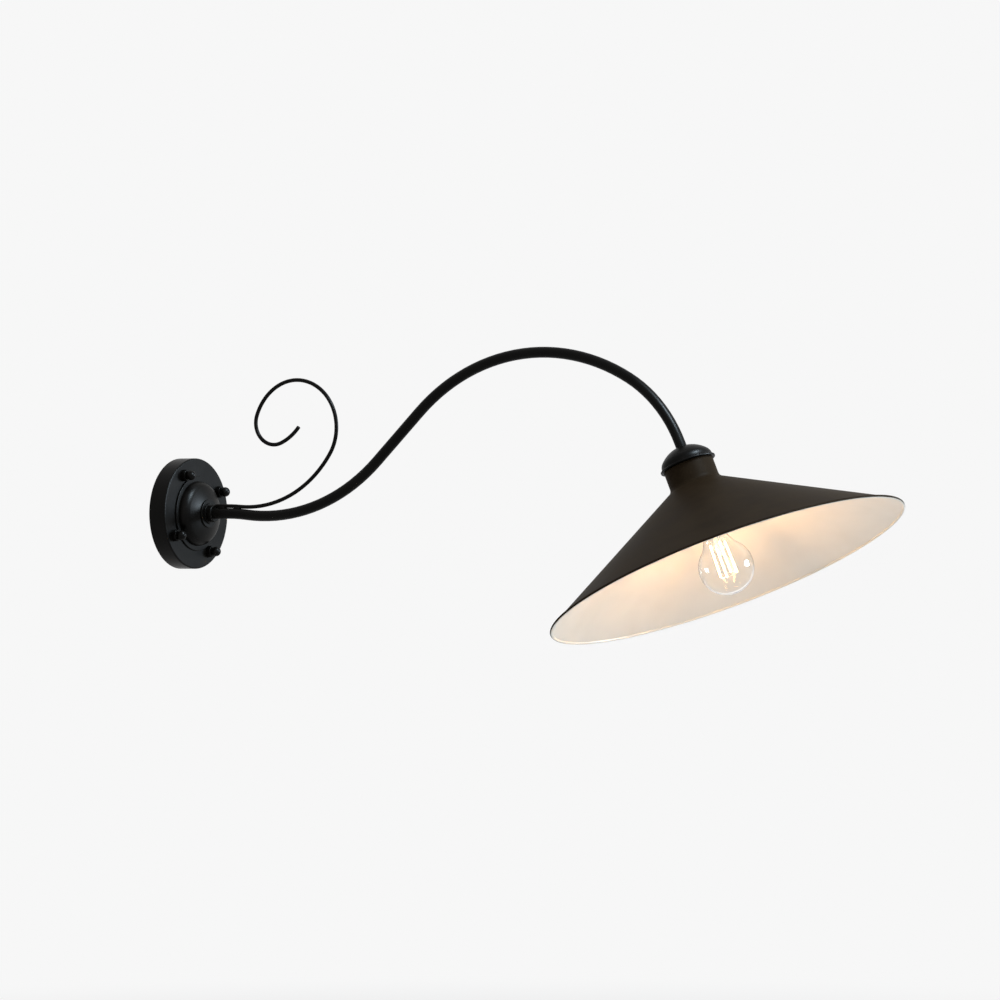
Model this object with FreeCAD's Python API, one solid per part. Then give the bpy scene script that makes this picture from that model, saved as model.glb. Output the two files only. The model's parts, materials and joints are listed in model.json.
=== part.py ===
import FreeCAD
import Part
import math
import os

# Gooseneck wall sconce: a round canopy on a wall bracket, a bent tube with a scroll on it,
# and a wide conical shade that hangs from the tube's end with a screw-in bulb inside it.
#
# Frame: +X leads out of the wall, +Z up, all sizes in millimetres. The origin is the centre
# of the wall bracket's back face, which lies on the wall.
# Head frame: the head's own +Z runs up the shade's axis from the centre of its rim.

# ---- clearances ----
PRESSED_GAP = 0.05          # radial gap round a piece that is pushed or screwed in
HOLE_GAP = 0.3              # radial gap of a clearance hole round a screw, stud or nipple
LOOSE_GAP = 0.3             # gap between the bulb and what it screws into
CEMENT_GAP = 0.3            # gap between the bulb's glass neck and its cap
WELD_GAP = 0.1              # gap between the scroll and the tube that the weld bridges
FACE_TOLERANCE = 0.01       # how far an edge may lie from a face and still count as on it

# ---- wall bracket ----
BRACKET_R = 57.0
BRACKET_T = 1.5
BRACKET_RIM_ROUND = 0.5
CABLE_HOLE_R = 9.0
SLOT_SPACING = 72.0         # between the centres of the two wall-screw slots
SLOT_HALF_WIDTH = 2.6
SLOT_LENGTH = 12.0

# ---- studs and their nuts ----
STUD_COUNT = 4
STUD_CIRCLE_R = 49.5
FIRST_STUD_ANGLE = -30.0    # degrees from +Z towards +Y
STUD_R = 2.0
STUD_BACK = 0.3             # how far the stud's end lies under the bracket's back face
STUD_REACH = 6.5            # how far the stud stands out of the canopy's face
STUD_NUT_FLATS = 7.0
STUD_NUT_T = 3.2

# ---- forms that nuts and screws share ----
NUT_BEVEL_SHARE = 0.6       # of what a nut's corners stand beyond its flats
HEAD_ROUND_SHARE = 0.45     # of a screw head's height
SLOT_FLOOR_SHARE = 0.55     # of a screw head's height

# ---- canopy ----
CANOPY_R = 62.5
CANOPY_DEPTH = 21.0
CANOPY_SHEET = 1.2
CANOPY_EDGE_ROUND = 1.6

# ---- ball nuts ----
BALL_NUT_BASE_R = 6.5
BALL_NUT_BASE_H = 5.5
BALL_NUT_EDGE_ROUND = 0.6
BALL_R = 5.5
BALL_CENTRE_H = 9.8
BALL_NUT_BORE_DEPTH = 7.5

# ---- dome boss ----
BOSS_FLANGE_R = 42.0
BOSS_FLANGE_H = 2.0
BOSS_FLANGE_ROUND = 0.6
BOSS_DOME_R = 36.5
BOSS_RISE = 16.0            # of the dome above its flange
BOSS_SHOULDER_R = 11.0
BOSS_LAND_H = 17.0          # of the flat land on the nose, above the canopy's face
BOSS_SHEET = 1.2

# ---- collar on the nose of the boss ----
COLLAR_WASHER_R = 16.0
COLLAR_WASHER_T = 1.2
COLLAR_WASHER_ROUND = 0.5
COLLAR_BASE_R = 11.7
COLLAR_BASE_T = 1.6
COLLAR_NECK_R = 8.4
COLLAR_NECK_L = 3.0
COLLAR_NOSE_R = 9.8
COLLAR_NOSE_T = 3.2
COLLAR_NOSE_ROUND = 1.2
COLLAR_EDGE_ROUND = 0.4     # of the base's and the nose's other edges
COLLAR_SEAT_T = 3.0         # of the floor that the tube's end stands on

# ---- gooseneck tube ----
TUBE_R = 6.0
TUBE_BORE_R = 5.0
ARM_LEVEL = 21.4            # level run from the tube's end in the collar to the first bend
ARM_DIP_R = 220.0
ARM_DIP_ANGLE = 6.8
ARM_RISE_R = 215.0
ARM_RISE_ANGLE = 50.7
ARM_SLOPE = 78.0            # straight run on the way up
ARM_CREST_R = 224.5
ARM_CREST_ANGLE = 73.8
ARM_DROP_R = 150.0
ARM_END_RUN = 5.0
HEAD_TILT = 23.2            # of the shade's axis from the vertical

# ---- threaded nipples, their nuts and washers ----
NIPPLE_BORE_R = 3.5
WALL_NIPPLE_TAIL = 3.0      # how far the nipple stands out behind its nut
WALL_NIPPLE_IN_TUBE = 15.0
HEAD_NIPPLE_IN_TUBE = 5.0
LOCK_NUT_FLATS = 14.0
LOCK_NUT_T = 3.5
TOOTH_WASHER_R = 9.0
TOOTH_WASHER_T = 0.8
TOOTH_COUNT = 12
TOOTH_DEPTH = 1.6
TOOTH_NOTCH = 1.8

# ---- bush in the end of the wall nipple ----
BUSH_FLANGE_R = 5.6
BUSH_FLANGE_T = 1.0
BUSH_EDGE_ROUND = 0.3
BUSH_SLEEVE_L = 5.0
BUSH_BORE_R = 2.5

# ---- scroll ----
ROD_R = 2.2
SCROLL_START_GAP = 1.0      # from the collar's nose to the rod's end
SCROLL_FOLLOW_ANGLE = 4.5   # how far round the tube's first bend the rod lies on it
SCROLL_LIFT_R = 132.0       # the later bends all turn upwards, from the tube to the free end
SCROLL_LIFT_ANGLE = 60.5
SCROLL_LOOP_R = 53.5
SCROLL_LOOP_ANGLE = 150.3
SCROLL_RETURN_R = 59.5
SCROLL_RETURN_ANGLE = 44.2
SCROLL_CURL_R = 24.7
SCROLL_CURL_ANGLE = 132.0
SCROLL_TIP_R = 61.0
SCROLL_TIP_ANGLE = 28.0
WELD_R = 2.9
WELD_L = 9.0
WELD_END_ROUND = 2.2
WELD_START = 4.0            # from the rod's end to the first weld

# ---- shade ----
SHADE_R = 201.0
SHADE_SLOPE = 30.0          # of the cone's wall from the rim's plane
SHADE_WALL = 0.9
SHADE_BEAD_R = 1.6
SHADE_NECK_R = 27.5
SHADE_NECK_ROUND = 8.0
SHADE_NECK_L = 23.6         # from the cone's upper end to the neck's closed top
SHADE_TOP_ROUND = 2.0

# ---- cap on the shade's neck ----
CAP_BEAD_R = 30.8
CAP_BEAD_H = 2.6
CAP_BEAD_ROUND = 1.2
CAP_SKIRT = 1.0             # how far the bead hangs below the neck's top
CAP_BAND_R = 28.5
CAP_BAND_H = 1.2
CAP_RISE = 18.2             # of the dome's full curve above the band
CAP_SHOULDER_R = 10.0
CAP_LAND_H = 20.0           # of the flat land under the tube's end, above the neck's top
CAP_WALL = 1.8

# ---- lamp holder ----
HOLDER_CLEARANCE = 3.8      # from the holder's entry up to the lock nut
HOLDER_WALL = 6.65          # of the porcelain round the screw shell
HOLDER_EDGE_ROUND = 1.5
HOLDER_FLOOR_T = 6.0
HOLDER_LIP = 1.6            # height of the plain mouth below the screw shell
HOLDER_CAP_STEP = 1.0       # how far the cap's side lies inside the body's
HOLDER_CAP_L = 16.0
HOLDER_CAP_WALL = 2.4
HOLDER_CAP_ROUND = 5.0
HOLDER_ENTRY_R = 8.0
HOLDER_ENTRY_L = 12.0
HOLDER_ENTRY_FOOT_ROUND = 1.0
HOLDER_ENTRY_ROUND = 0.6
HOLDER_ENTRY_FLOOR = 1.0    # of the entry's thread left below the nipple's end

# ---- contacts in the lamp holder ----
SHELL_WALL = 0.4
SHELL_RING_R = 7.0          # of the hole in the shell's closed end
CONTACT_DISC_R = 4.5
CONTACT_DISC_T = 0.6
CONTACT_STEM_R = 1.5
CONTACT_ROOM = 2.0          # from the button up to the holder's floor
SHELL_POST_R = 2.6          # of the post that joins the shell to its terminal
TERMINAL_BAR_T = 1.5
TERMINAL_BAR_W = 7.0
TERMINAL_BAR_MARGIN = 3.5   # of each bar beyond its screw's axis
TERMINAL_OFFSET = 9.0       # of each terminal screw from the axis
TERMINAL_SCREW_R = 1.5
TERMINAL_SCREW_BELOW = 2.5  # how far each terminal screw reaches below its bar
TERMINAL_HEAD_R = 2.9
TERMINAL_HEAD_T = 1.8
TERMINAL_SLOT_W = 0.7

# ---- bulb ----
GLOBE_R = 30.0
GLASS_T = 0.8
GLASS_NECK_SWEEP_R = 32.0   # of the hollow curve between globe and neck
GLASS_NECK_GAP = 0.5        # from the neck's end up to the cap's thread
BULB_CAP_SHOWS = 4.7        # how much of the bulb's cap shows below the holder's mouth
BULB_CAP_R = 13.1
BULB_CAP_SHEET = 0.4
BULB_CAP_SKIRT_L = 7.0
BULB_SKIRT_ROUND = 0.3
THREAD_PITCH = 3.6
THREAD_TURNS = 5
THREAD_DEPTH = 0.8
THREAD_CREST_ROUND = 0.9
THREAD_ROOT_ROUND = 0.7
THREAD_FIRST_CREST = 0.75   # of the pitch, from the thread's start
INSULATOR_H = 3.6
INSULATOR_TOP_R = 5.2
BULB_CONTACT_R = 4.6
BULB_CONTACT_T = 1.2
BULB_CONTACT_ROUND = 0.5
STEM_FLARE_L = 16.0
STEM_WALL = 0.9
STEM_R = 3.0
STEM_TIP_ROUND = 1.0
STEM_L = 20.0               # of the stem's rod below its flare
FILAMENT_COUNT = 4
FILAMENT_R = 0.95
FILAMENT_L = 36.0
FILAMENT_TOP_RING_R = 8.5
FILAMENT_FOOT_RING_R = 9.5
FILAMENT_FOOT_DROP = 9.0    # from the globe's centre down to the filaments' feet
LEAD_R = 0.35
LEAD_ROOT_R = 1.5           # of the ring on which the leads stand in the stem
DRIVER_T = 1.0
DRIVER_EDGE_GAP = 0.3
DRIVER_CAPACITOR_R = 3.0
DRIVER_CAPACITOR_L = 6.0
DRIVER_GAP = 4.0            # from the glass neck to the driver's board

# ---- terminal block in the canopy ----
BLOCK_WAYS = 3
BLOCK_PITCH = 9.5
BLOCK_END_WALL = 1.0
BLOCK_L = 18.0
BLOCK_H = 12.0
BLOCK_TOP_Z = -17.0
BLOCK_EDGE_ROUND = 0.8
CLAMP_R = 2.6
CLAMP_BORE_R = 1.6
CLAMP_L = 16.0
CLAMP_SCREW_R = 1.3
CLAMP_SCREW_SPACING = 9.0
CLAMP_SCREW_RECESS = 1.0
CLAMP_SLOT_DEPTH = 1.0
CLAMP_SLOT_W = 0.6
BLOCK_SCREW_R = 1.4
BLOCK_SCREW_HEAD_R = 1.9
BLOCK_SCREW_HEAD_T = 1.5
BLOCK_SCREW_SLOT_W = 0.6

# ---- earth screw, tag and washer ----
EARTH_Y = 20.0
EARTH_Z = 16.0
EARTH_SCREW_R = 2.0
EARTH_HEAD_R = 3.8
EARTH_HEAD_T = 2.4
EARTH_SLOT_W = 0.9
TAG_R = 4.4
TAG_T = 0.8
TAG_BARREL_R = 1.8
TAG_BARREL_L = 7.0
TAG_BARREL_GAP = 4.5        # from the screw's axis to the barrel
TAG_BARREL_STOP = 1.0       # from the barrel's upper end to the wire's end in it

# ---- wires ----
WIRE_R = 1.0
WIRE_SPREAD = 1.2           # of each conductor from the tube's centre plane
WIRE_IN_CLAMP = 8.0
WIRE_BEND_R = 4.5
WIRE_WALL_BEND_R = 2.7      # where each conductor leaves its upright run below the nipple
WIRE_HEAD_BEND_R = 2.25     # where each conductor turns to its terminal
WIRE_LEAVES_BLOCK = 2.0     # straight out of the terminal block
WIRE_BELOW_AXIS = 7.5       # from the arm's axis down to the bend below it
WIRE_BELOW_NIPPLE = 4.0     # from the head nipple's end to the bend below it
EARTH_WIRE_TAIL = 4.5       # straight out of the tag's barrel
EARTH_WIRE_RISE = 8.5       # straight out of the terminal block

# ---- places that follow from the sizes above ----
STUD_ANGLES = [FIRST_STUD_ANGLE + turn * 360.0 / STUD_COUNT for turn in range(STUD_COUNT)]
NIPPLE_R = TUBE_BORE_R - PRESSED_GAP
NIPPLE_HOLE_R = NIPPLE_R + HOLE_GAP
CANOPY_BACK_OF_FACE = CANOPY_DEPTH - CANOPY_SHEET
NOSE_X = CANOPY_DEPTH + BOSS_LAND_H
COLLAR_X = NOSE_X + COLLAR_WASHER_T
COLLAR_L = COLLAR_BASE_T + COLLAR_NECK_L + COLLAR_NOSE_T
TUBE_START_X = COLLAR_X + COLLAR_SEAT_T
SCROLL_START_X = COLLAR_X + COLLAR_L + SCROLL_START_GAP
SCROLL_OFFSET = TUBE_R + ROD_R + WELD_GAP
WALL_NUT_X = CANOPY_BACK_OF_FACE - TOOTH_WASHER_T - LOCK_NUT_T
WALL_NIPPLE_X = WALL_NUT_X - WALL_NIPPLE_TAIL
BUSH_X = WALL_NIPPLE_X - BUSH_FLANGE_T
ARM_DROP_ANGLE = 90.0 - HEAD_TILT - ARM_DIP_ANGLE + ARM_RISE_ANGLE - ARM_CREST_ANGLE
SCROLL_BENDS = [(SCROLL_LIFT_R, SCROLL_LIFT_ANGLE), (SCROLL_LOOP_R, SCROLL_LOOP_ANGLE),
                (SCROLL_RETURN_R, SCROLL_RETURN_ANGLE), (SCROLL_CURL_R, SCROLL_CURL_ANGLE),
                (SCROLL_TIP_R, SCROLL_TIP_ANGLE)]
SHADE_TAN = math.tan(math.radians(SHADE_SLOPE))
SHADE_BEAD_CENTRE_R = SHADE_R - SHADE_BEAD_R
SHADE_HALF_RISE = SHADE_WALL / 2.0 / math.cos(math.radians(SHADE_SLOPE))
SHADE_TURN_H = SHADE_BEAD_R + SHADE_HALF_RISE + (SHADE_BEAD_CENTRE_R - SHADE_NECK_R) * SHADE_TAN
SHADE_TOP_H = SHADE_TURN_H + SHADE_NECK_L
HEAD_TOP_H = SHADE_TOP_H + CAP_LAND_H
SHADE_DISC_UNDER_H = SHADE_TOP_H - SHADE_WALL
HEAD_NUT_H = SHADE_DISC_UNDER_H - TOOTH_WASHER_T - LOCK_NUT_T
BULB_CAP_L = BULB_CAP_SKIRT_L + THREAD_PITCH * THREAD_TURNS + INSULATOR_H + BULB_CONTACT_T
HOLDER_DEPTH = BULB_CAP_L - BULB_CAP_SHOWS + LOOSE_GAP + CONTACT_DISC_T + CONTACT_ROOM
HOLDER_ROOF_TOP_H = HEAD_NUT_H - HOLDER_CLEARANCE - HOLDER_ENTRY_L
HOLDER_ROOF_H = HOLDER_ROOF_TOP_H - HOLDER_CAP_WALL
HOLDER_CAP_H = HOLDER_ROOF_TOP_H - HOLDER_CAP_L
HOLDER_FLOOR_H = HOLDER_CAP_H - HOLDER_FLOOR_T
HOLDER_MOUTH_H = HOLDER_FLOOR_H - HOLDER_DEPTH
HEAD_NIPPLE_H = HOLDER_ROOF_H + HOLDER_ENTRY_FLOOR
BAR_TOP_H = HOLDER_CAP_H + TERMINAL_BAR_T
SHELL_R = BULB_CAP_R + LOOSE_GAP + SHELL_WALL
HOLDER_BODY_R = SHELL_R + PRESSED_GAP + HOLDER_WALL
HOLDER_CAP_R = HOLDER_BODY_R - HOLDER_CAP_STEP
GLASS_NECK_R = BULB_CAP_R - BULB_CAP_SHEET - CEMENT_GAP
GLASS_NECK_L = BULB_CAP_SKIRT_L - GLASS_NECK_GAP
BULB_CAP_H = HOLDER_MOUTH_H - BULB_CAP_SHOWS
THREAD_H = BULB_CAP_H + BULB_CAP_SKIRT_L
BULB_CAP_END_H = THREAD_H + THREAD_PITCH * THREAD_TURNS
BULB_TOP_H = BULB_CAP_H + BULB_CAP_L
GLOBE_CENTRE_H = BULB_CAP_H - math.sqrt(
    (GLOBE_R + GLASS_NECK_SWEEP_R) ** 2 - (GLASS_NECK_R + GLASS_NECK_SWEEP_R) ** 2)
FILAMENT_FOOT_H = GLOBE_CENTRE_H - FILAMENT_FOOT_DROP
CLAMP_X = BRACKET_T + BLOCK_H / 2.0
BLOCK_Y = [(way - (BLOCK_WAYS - 1) / 2.0) * BLOCK_PITCH for way in range(BLOCK_WAYS)]
BLOCK_MIDDLE_Z = BLOCK_TOP_Z - BLOCK_L / 2.0
UP = FreeCAD.Vector(0, 0, 1)
ORIGIN = FreeCAD.Vector(0, 0, 0)


# ---- helpers ----
def vector(x, y, z):
    return FreeCAD.Vector(x, y, z)


def corner_outline(corners):
    """Closed wire in the XZ plane through (radius, height[, rounding]) corners."""
    points = [vector(corner[0], 0, corner[1]) for corner in corners]
    rounds = [corner[2] if len(corner) > 2 else 0.0 for corner in corners]
    return rounded_wire(points, rounds, closed=True)


def rounded_wire(points, rounds, closed=False):
    """Straight runs through the points, with a tangent arc of the given radius at each."""
    entries = []
    count = len(points)
    for index, here in enumerate(points):
        at_end = not closed and index in (0, count - 1)
        if rounds[index] <= 0.0 or at_end:
            entries.append((here, None, here))
            continue
        back = (points[index - 1] - here).normalize()
        ahead = (points[(index + 1) % count] - here).normalize()
        half = back.getAngle(ahead) / 2.0
        setback = rounds[index] / math.tan(half)
        middle = (back + ahead).normalize()
        centre = here + middle * (rounds[index] / math.sin(half))
        entries.append((here + back * setback, centre - middle * rounds[index],
                        here + ahead * setback))
    edges = []
    for index, (arc_start, arc_middle, arc_end) in enumerate(entries):
        if arc_middle is not None:
            edges.append(Part.Arc(arc_start, arc_middle, arc_end).toShape())
        if index + 1 < count or closed:
            run_end = entries[(index + 1) % count][0]
            if arc_end.distanceToPoint(run_end) > 1e-6:
                edges.append(Part.makeLine(arc_end, run_end))
    return Part.Wire(edges)


def turned(corners):
    """Solid turned round the Z axis from (radius, height[, rounding]) corners."""
    return Part.Face(corner_outline(corners)).revolve(ORIGIN, UP, 360.0)


def disc(radius, height, base=0.0):
    return Part.makeCylinder(radius, height, vector(0, 0, base))


def ring(outer_r, inner_r, height, base=0.0):
    return turned([(inner_r, base), (outer_r, base), (outer_r, base + height),
                   (inner_r, base + height)])


def dome(base_r, rise, shoulder_r, land_h):
    """Flattened dome on the XY plane: a shoulder arc, a wide top arc and a flat land."""
    shoulder_centre = base_r - shoulder_r
    top_r = (shoulder_centre ** 2 + rise ** 2 - shoulder_r ** 2) / (2.0 * (rise - shoulder_r))
    top_centre = rise - top_r
    join = math.atan2(-top_centre, shoulder_centre)
    meet = vector(shoulder_centre + shoulder_r * math.cos(join), 0, shoulder_r * math.sin(join))
    shoulder_middle = vector(shoulder_centre + shoulder_r * math.cos(join / 2.0), 0,
                             shoulder_r * math.sin(join / 2.0))
    top_angle = (join + math.pi / 2.0) / 2.0
    top_middle = vector(top_r * math.cos(top_angle), 0, top_centre + top_r * math.sin(top_angle))
    base_edge = vector(base_r, 0, 0)
    crown = vector(0, 0, rise)
    wire = Part.Wire([Part.makeLine(ORIGIN, base_edge),
                      Part.Arc(base_edge, shoulder_middle, meet).toShape(),
                      Part.Arc(meet, top_middle, crown).toShape(),
                      Part.makeLine(crown, ORIGIN)])
    solid = Part.Face(wire).revolve(ORIGIN, UP, 360.0)
    return solid.common(disc(2.0 * base_r, land_h))


def hex_nut(flats, bore_r, thickness, base=0.0):
    """Hexagonal nut with a plain bore and corners bevelled by a cone at both ends."""
    corner_r = flats / math.sqrt(3.0)
    corners = [vector(corner_r * math.cos(math.radians(60.0 * k)),
                      corner_r * math.sin(math.radians(60.0 * k)), base) for k in range(7)]
    body = Part.Face(Part.makePolygon(corners)).extrude(vector(0, 0, thickness))
    bevel = (corner_r - flats / 2.0) * NUT_BEVEL_SHARE
    envelope = turned([(0, base), (corner_r - bevel, base), (corner_r, base + bevel),
                       (corner_r, base + thickness - bevel),
                       (corner_r - bevel, base + thickness), (0, base + thickness)])
    return body.common(envelope).cut(disc(bore_r, thickness, base))


def toothed_washer(bore_r, base):
    """Flat lock washer with notches round its rim."""
    washer = ring(TOOTH_WASHER_R, bore_r, TOOTH_WASHER_T, base)
    notch = Part.makeBox(TOOTH_DEPTH * 2.0, TOOTH_NOTCH, TOOTH_WASHER_T,
                         vector(TOOTH_WASHER_R - TOOTH_DEPTH, -TOOTH_NOTCH / 2.0, base))
    notches = []
    for tooth in range(TOOTH_COUNT):
        turned_notch = notch.copy()
        turned_notch.rotate(ORIGIN, UP, tooth * 360.0 / TOOTH_COUNT)
        notches.append(turned_notch)
    return washer.cut(Part.makeCompound(notches))


def pan_screw(head_r, head_t, shank_r, shank_l, slot_w):
    """Screw along Z: its head's underside at height 0, its shank below, a slot across the head."""
    head = turned([(0, 0), (head_r, 0), (head_r, head_t, head_t * HEAD_ROUND_SHARE), (0, head_t)])
    slot = Part.makeBox(2.0 * head_r, slot_w, head_t,
                        vector(-head_r, -slot_w / 2.0, head_t * SLOT_FLOOR_SHARE))
    return head.fuse(disc(shank_r, shank_l, -shank_l)).removeSplitter().cut(slot)


def facing_room(shape):
    """A shape built along +Z, turned to lead out of the wall along +X."""
    turned_shape = shape.copy()
    turned_shape.rotate(ORIGIN, vector(0, 1, 0), 90.0)
    return turned_shape


def at(shape, x, y, z):
    moved = shape.copy()
    moved.translate(vector(x, y, z))
    return moved


def at_each_stud(shape):
    """Copies of a shape that faces the room, one on each stud's axis."""
    copies = [at(shape, 0, STUD_CIRCLE_R * math.sin(math.radians(angle)),
                 STUD_CIRCLE_R * math.cos(math.radians(angle))) for angle in STUD_ANGLES]
    return Part.makeCompound(copies)


def swept(wire, radius, bore_r=0.0):
    """Round rod or tube along a wire of straight runs and tangent arcs."""
    start = wire.OrderedEdges[0]
    place = start.valueAt(start.FirstParameter)
    heading = start.tangentAt(start.FirstParameter)
    if wire.OrderedEdges[0].Orientation == "Reversed":
        place = start.valueAt(start.LastParameter)
        heading = -start.tangentAt(start.LastParameter)
    section = Part.Face(Part.Wire(Part.makeCircle(radius, place, heading)))
    rod = wire.makePipe(section)
    expected = math.pi * radius ** 2 * wire.Length
    print("sweep: length %.1f mm, volume/expected %.5f" % (wire.Length, rod.Volume / expected))
    if bore_r > 0.0:
        return rod.cut(wire.makePipe(Part.Face(Part.Wire(Part.makeCircle(bore_r, place, heading)))))
    return rod


# ---- paths in the plane of the arm ----
class Plan:
    """A path of straight runs and tangent arcs in a plane of constant Y."""

    def __init__(self, x, y, z):
        self.place = vector(x, y, z)
        self.heading = 0.0
        self.edges = []

    def ahead(self):
        angle = math.radians(self.heading)
        return vector(math.cos(angle), 0, math.sin(angle))

    def run(self, length):
        end = self.place + self.ahead() * length
        self.edges.append(Part.makeLine(self.place, end))
        self.place = end

    def bend(self, radius, angle):
        """Arc of the given angle in degrees: positive turns upwards, negative downwards."""
        side = math.copysign(1.0, angle)
        heading = self.heading
        points = []
        for share in (0.0, 0.5, 1.0):
            self.heading = heading + angle * share
            normal = vector(-self.ahead().z, 0, self.ahead().x) * side
            points.append(normal * -radius)
        middle = self.place + points[1] - points[0]
        end = self.place + points[2] - points[0]
        self.edges.append(Part.Arc(self.place, middle, end).toShape())
        self.place = end


def arm_plan(y=0.0):
    """The gooseneck's centre line, moved sideways to the given Y."""
    plan = Plan(TUBE_START_X, y, 0.0)
    plan.run(ARM_LEVEL)
    plan.bend(ARM_DIP_R, -ARM_DIP_ANGLE)
    plan.bend(ARM_RISE_R, ARM_RISE_ANGLE)
    plan.run(ARM_SLOPE)
    plan.bend(ARM_CREST_R, -ARM_CREST_ANGLE)
    plan.bend(ARM_DROP_R, -ARM_DROP_ANGLE)
    plan.run(ARM_END_RUN)
    return plan


def scroll_plan():
    """The scroll's centre line: it lies on the tube, leaves it and curls back on itself."""
    plan = Plan(SCROLL_START_X, 0.0, SCROLL_OFFSET)
    plan.run(TUBE_START_X + ARM_LEVEL - SCROLL_START_X)
    plan.bend(ARM_DIP_R + SCROLL_OFFSET, -SCROLL_FOLLOW_ANGLE)
    for radius, angle in SCROLL_BENDS:
        plan.bend(radius, angle)
    return plan


ARM_END = arm_plan().place
RIM_CENTRE = ARM_END + vector(math.sin(math.radians(HEAD_TILT)), 0,
                              -math.cos(math.radians(HEAD_TILT))) * HEAD_TOP_H


def head_placement():
    turn = FreeCAD.Rotation(vector(0, 1, 0), -HEAD_TILT)
    return FreeCAD.Placement(RIM_CENTRE, turn)


def in_head(shape):
    """A shape of the head's own frame, moved to its place."""
    moved = shape.copy()
    moved.Placement = head_placement().multiply(moved.Placement)
    return moved


def head_point(x, y, height):
    return head_placement().multVec(vector(x, y, height))


# ---- wall side ----
def wall_bracket():
    plate = turned([(0, 0), (BRACKET_R, 0), (BRACKET_R, BRACKET_T, BRACKET_RIM_ROUND),
                    (0, BRACKET_T)])
    plate = facing_room(plate.cut(disc(CABLE_HOLE_R, BRACKET_T)))
    plate = plate.cut(at_each_stud(facing_room(disc(STUD_R + PRESSED_GAP, BRACKET_T))))
    slot_end = SLOT_LENGTH / 2.0 - SLOT_HALF_WIDTH
    for side in (-1.0, 1.0):
        middle = side * SLOT_SPACING / 2.0
        slot = Part.makeBox(BRACKET_T, 2.0 * slot_end, 2.0 * SLOT_HALF_WIDTH,
                            vector(0, middle - slot_end, -SLOT_HALF_WIDTH))
        for end in (-slot_end, slot_end):
            slot = slot.fuse(at(facing_room(disc(SLOT_HALF_WIDTH, BRACKET_T)), 0, middle + end, 0))
        plate = plate.cut(slot.removeSplitter())
    tapped = [at(facing_room(disc(EARTH_SCREW_R + PRESSED_GAP, BRACKET_T)), 0, EARTH_Y, EARTH_Z)]
    for y in block_screw_places():
        tapped.append(at(facing_room(disc(BLOCK_SCREW_R + PRESSED_GAP, BRACKET_T)),
                         0, y, BLOCK_MIDDLE_Z))
    return plate.cut(Part.makeCompound(tapped))


def bracket_studs():
    length = CANOPY_DEPTH + STUD_REACH - STUD_BACK
    return at_each_stud(facing_room(disc(STUD_R, length, STUD_BACK)))


def bracket_nuts():
    return at_each_stud(facing_room(hex_nut(STUD_NUT_FLATS, STUD_R + PRESSED_GAP, STUD_NUT_T,
                                            BRACKET_T)))


def canopy():
    inner_r = CANOPY_R - CANOPY_SHEET
    shell = turned([(NIPPLE_HOLE_R, CANOPY_BACK_OF_FACE),
                    (inner_r, CANOPY_BACK_OF_FACE, CANOPY_EDGE_ROUND - CANOPY_SHEET),
                    (inner_r, 0), (CANOPY_R, 0), (CANOPY_R, CANOPY_DEPTH, CANOPY_EDGE_ROUND),
                    (NIPPLE_HOLE_R, CANOPY_DEPTH)])
    holes = at_each_stud(facing_room(disc(STUD_R + HOLE_GAP, CANOPY_SHEET, CANOPY_BACK_OF_FACE)))
    return facing_room(shell).cut(holes)


def ball_nuts():
    base = turned([(0, 0), (BALL_NUT_BASE_R, 0),
                   (BALL_NUT_BASE_R, BALL_NUT_BASE_H, BALL_NUT_EDGE_ROUND), (0, BALL_NUT_BASE_H)])
    ball = Part.makeSphere(BALL_R, vector(0, 0, BALL_CENTRE_H))
    nut = base.fuse(ball).cut(disc(STUD_R + PRESSED_GAP, BALL_NUT_BORE_DEPTH))
    return at_each_stud(facing_room(at(nut, 0, 0, CANOPY_DEPTH)))


def dome_boss():
    flange = turned([(0, 0), (BOSS_FLANGE_R, 0),
                     (BOSS_FLANGE_R, BOSS_FLANGE_H, BOSS_FLANGE_ROUND), (0, BOSS_FLANGE_H)])
    outer = at(dome(BOSS_DOME_R, BOSS_RISE, BOSS_SHOULDER_R, BOSS_LAND_H - BOSS_FLANGE_H),
               0, 0, BOSS_FLANGE_H)
    inner = at(dome(BOSS_DOME_R - BOSS_SHEET, BOSS_RISE - BOSS_SHEET,
                    BOSS_SHOULDER_R - BOSS_SHEET, BOSS_LAND_H - BOSS_FLANGE_H - BOSS_SHEET),
               0, 0, BOSS_FLANGE_H)
    hollow = disc(BOSS_DOME_R - BOSS_SHEET, BOSS_FLANGE_H)
    shell = flange.fuse(outer).cut(inner).cut(hollow).cut(disc(NIPPLE_HOLE_R, BOSS_LAND_H))
    return at(facing_room(shell.removeSplitter()), CANOPY_DEPTH, 0, 0)


def collar_washer():
    washer = turned([(NIPPLE_HOLE_R, 0), (COLLAR_WASHER_R, 0, COLLAR_WASHER_ROUND),
                     (COLLAR_WASHER_R, COLLAR_WASHER_T, COLLAR_WASHER_ROUND),
                     (NIPPLE_HOLE_R, COLLAR_WASHER_T)])
    return at(facing_room(washer), NOSE_X, 0, 0)


def arm_collar():
    neck_end = COLLAR_BASE_T + COLLAR_NECK_L
    socket_r = TUBE_R + PRESSED_GAP
    collar = turned([(NIPPLE_HOLE_R, 0), (COLLAR_BASE_R, 0),
                     (COLLAR_BASE_R, COLLAR_BASE_T, COLLAR_EDGE_ROUND),
                     (COLLAR_NECK_R, COLLAR_BASE_T), (COLLAR_NECK_R, neck_end),
                     (COLLAR_NOSE_R, neck_end, COLLAR_EDGE_ROUND),
                     (COLLAR_NOSE_R, COLLAR_L, COLLAR_NOSE_ROUND),
                     (socket_r, COLLAR_L), (socket_r, COLLAR_SEAT_T),
                     (NIPPLE_HOLE_R, COLLAR_SEAT_T)])
    return at(facing_room(collar), COLLAR_X, 0, 0)


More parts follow.
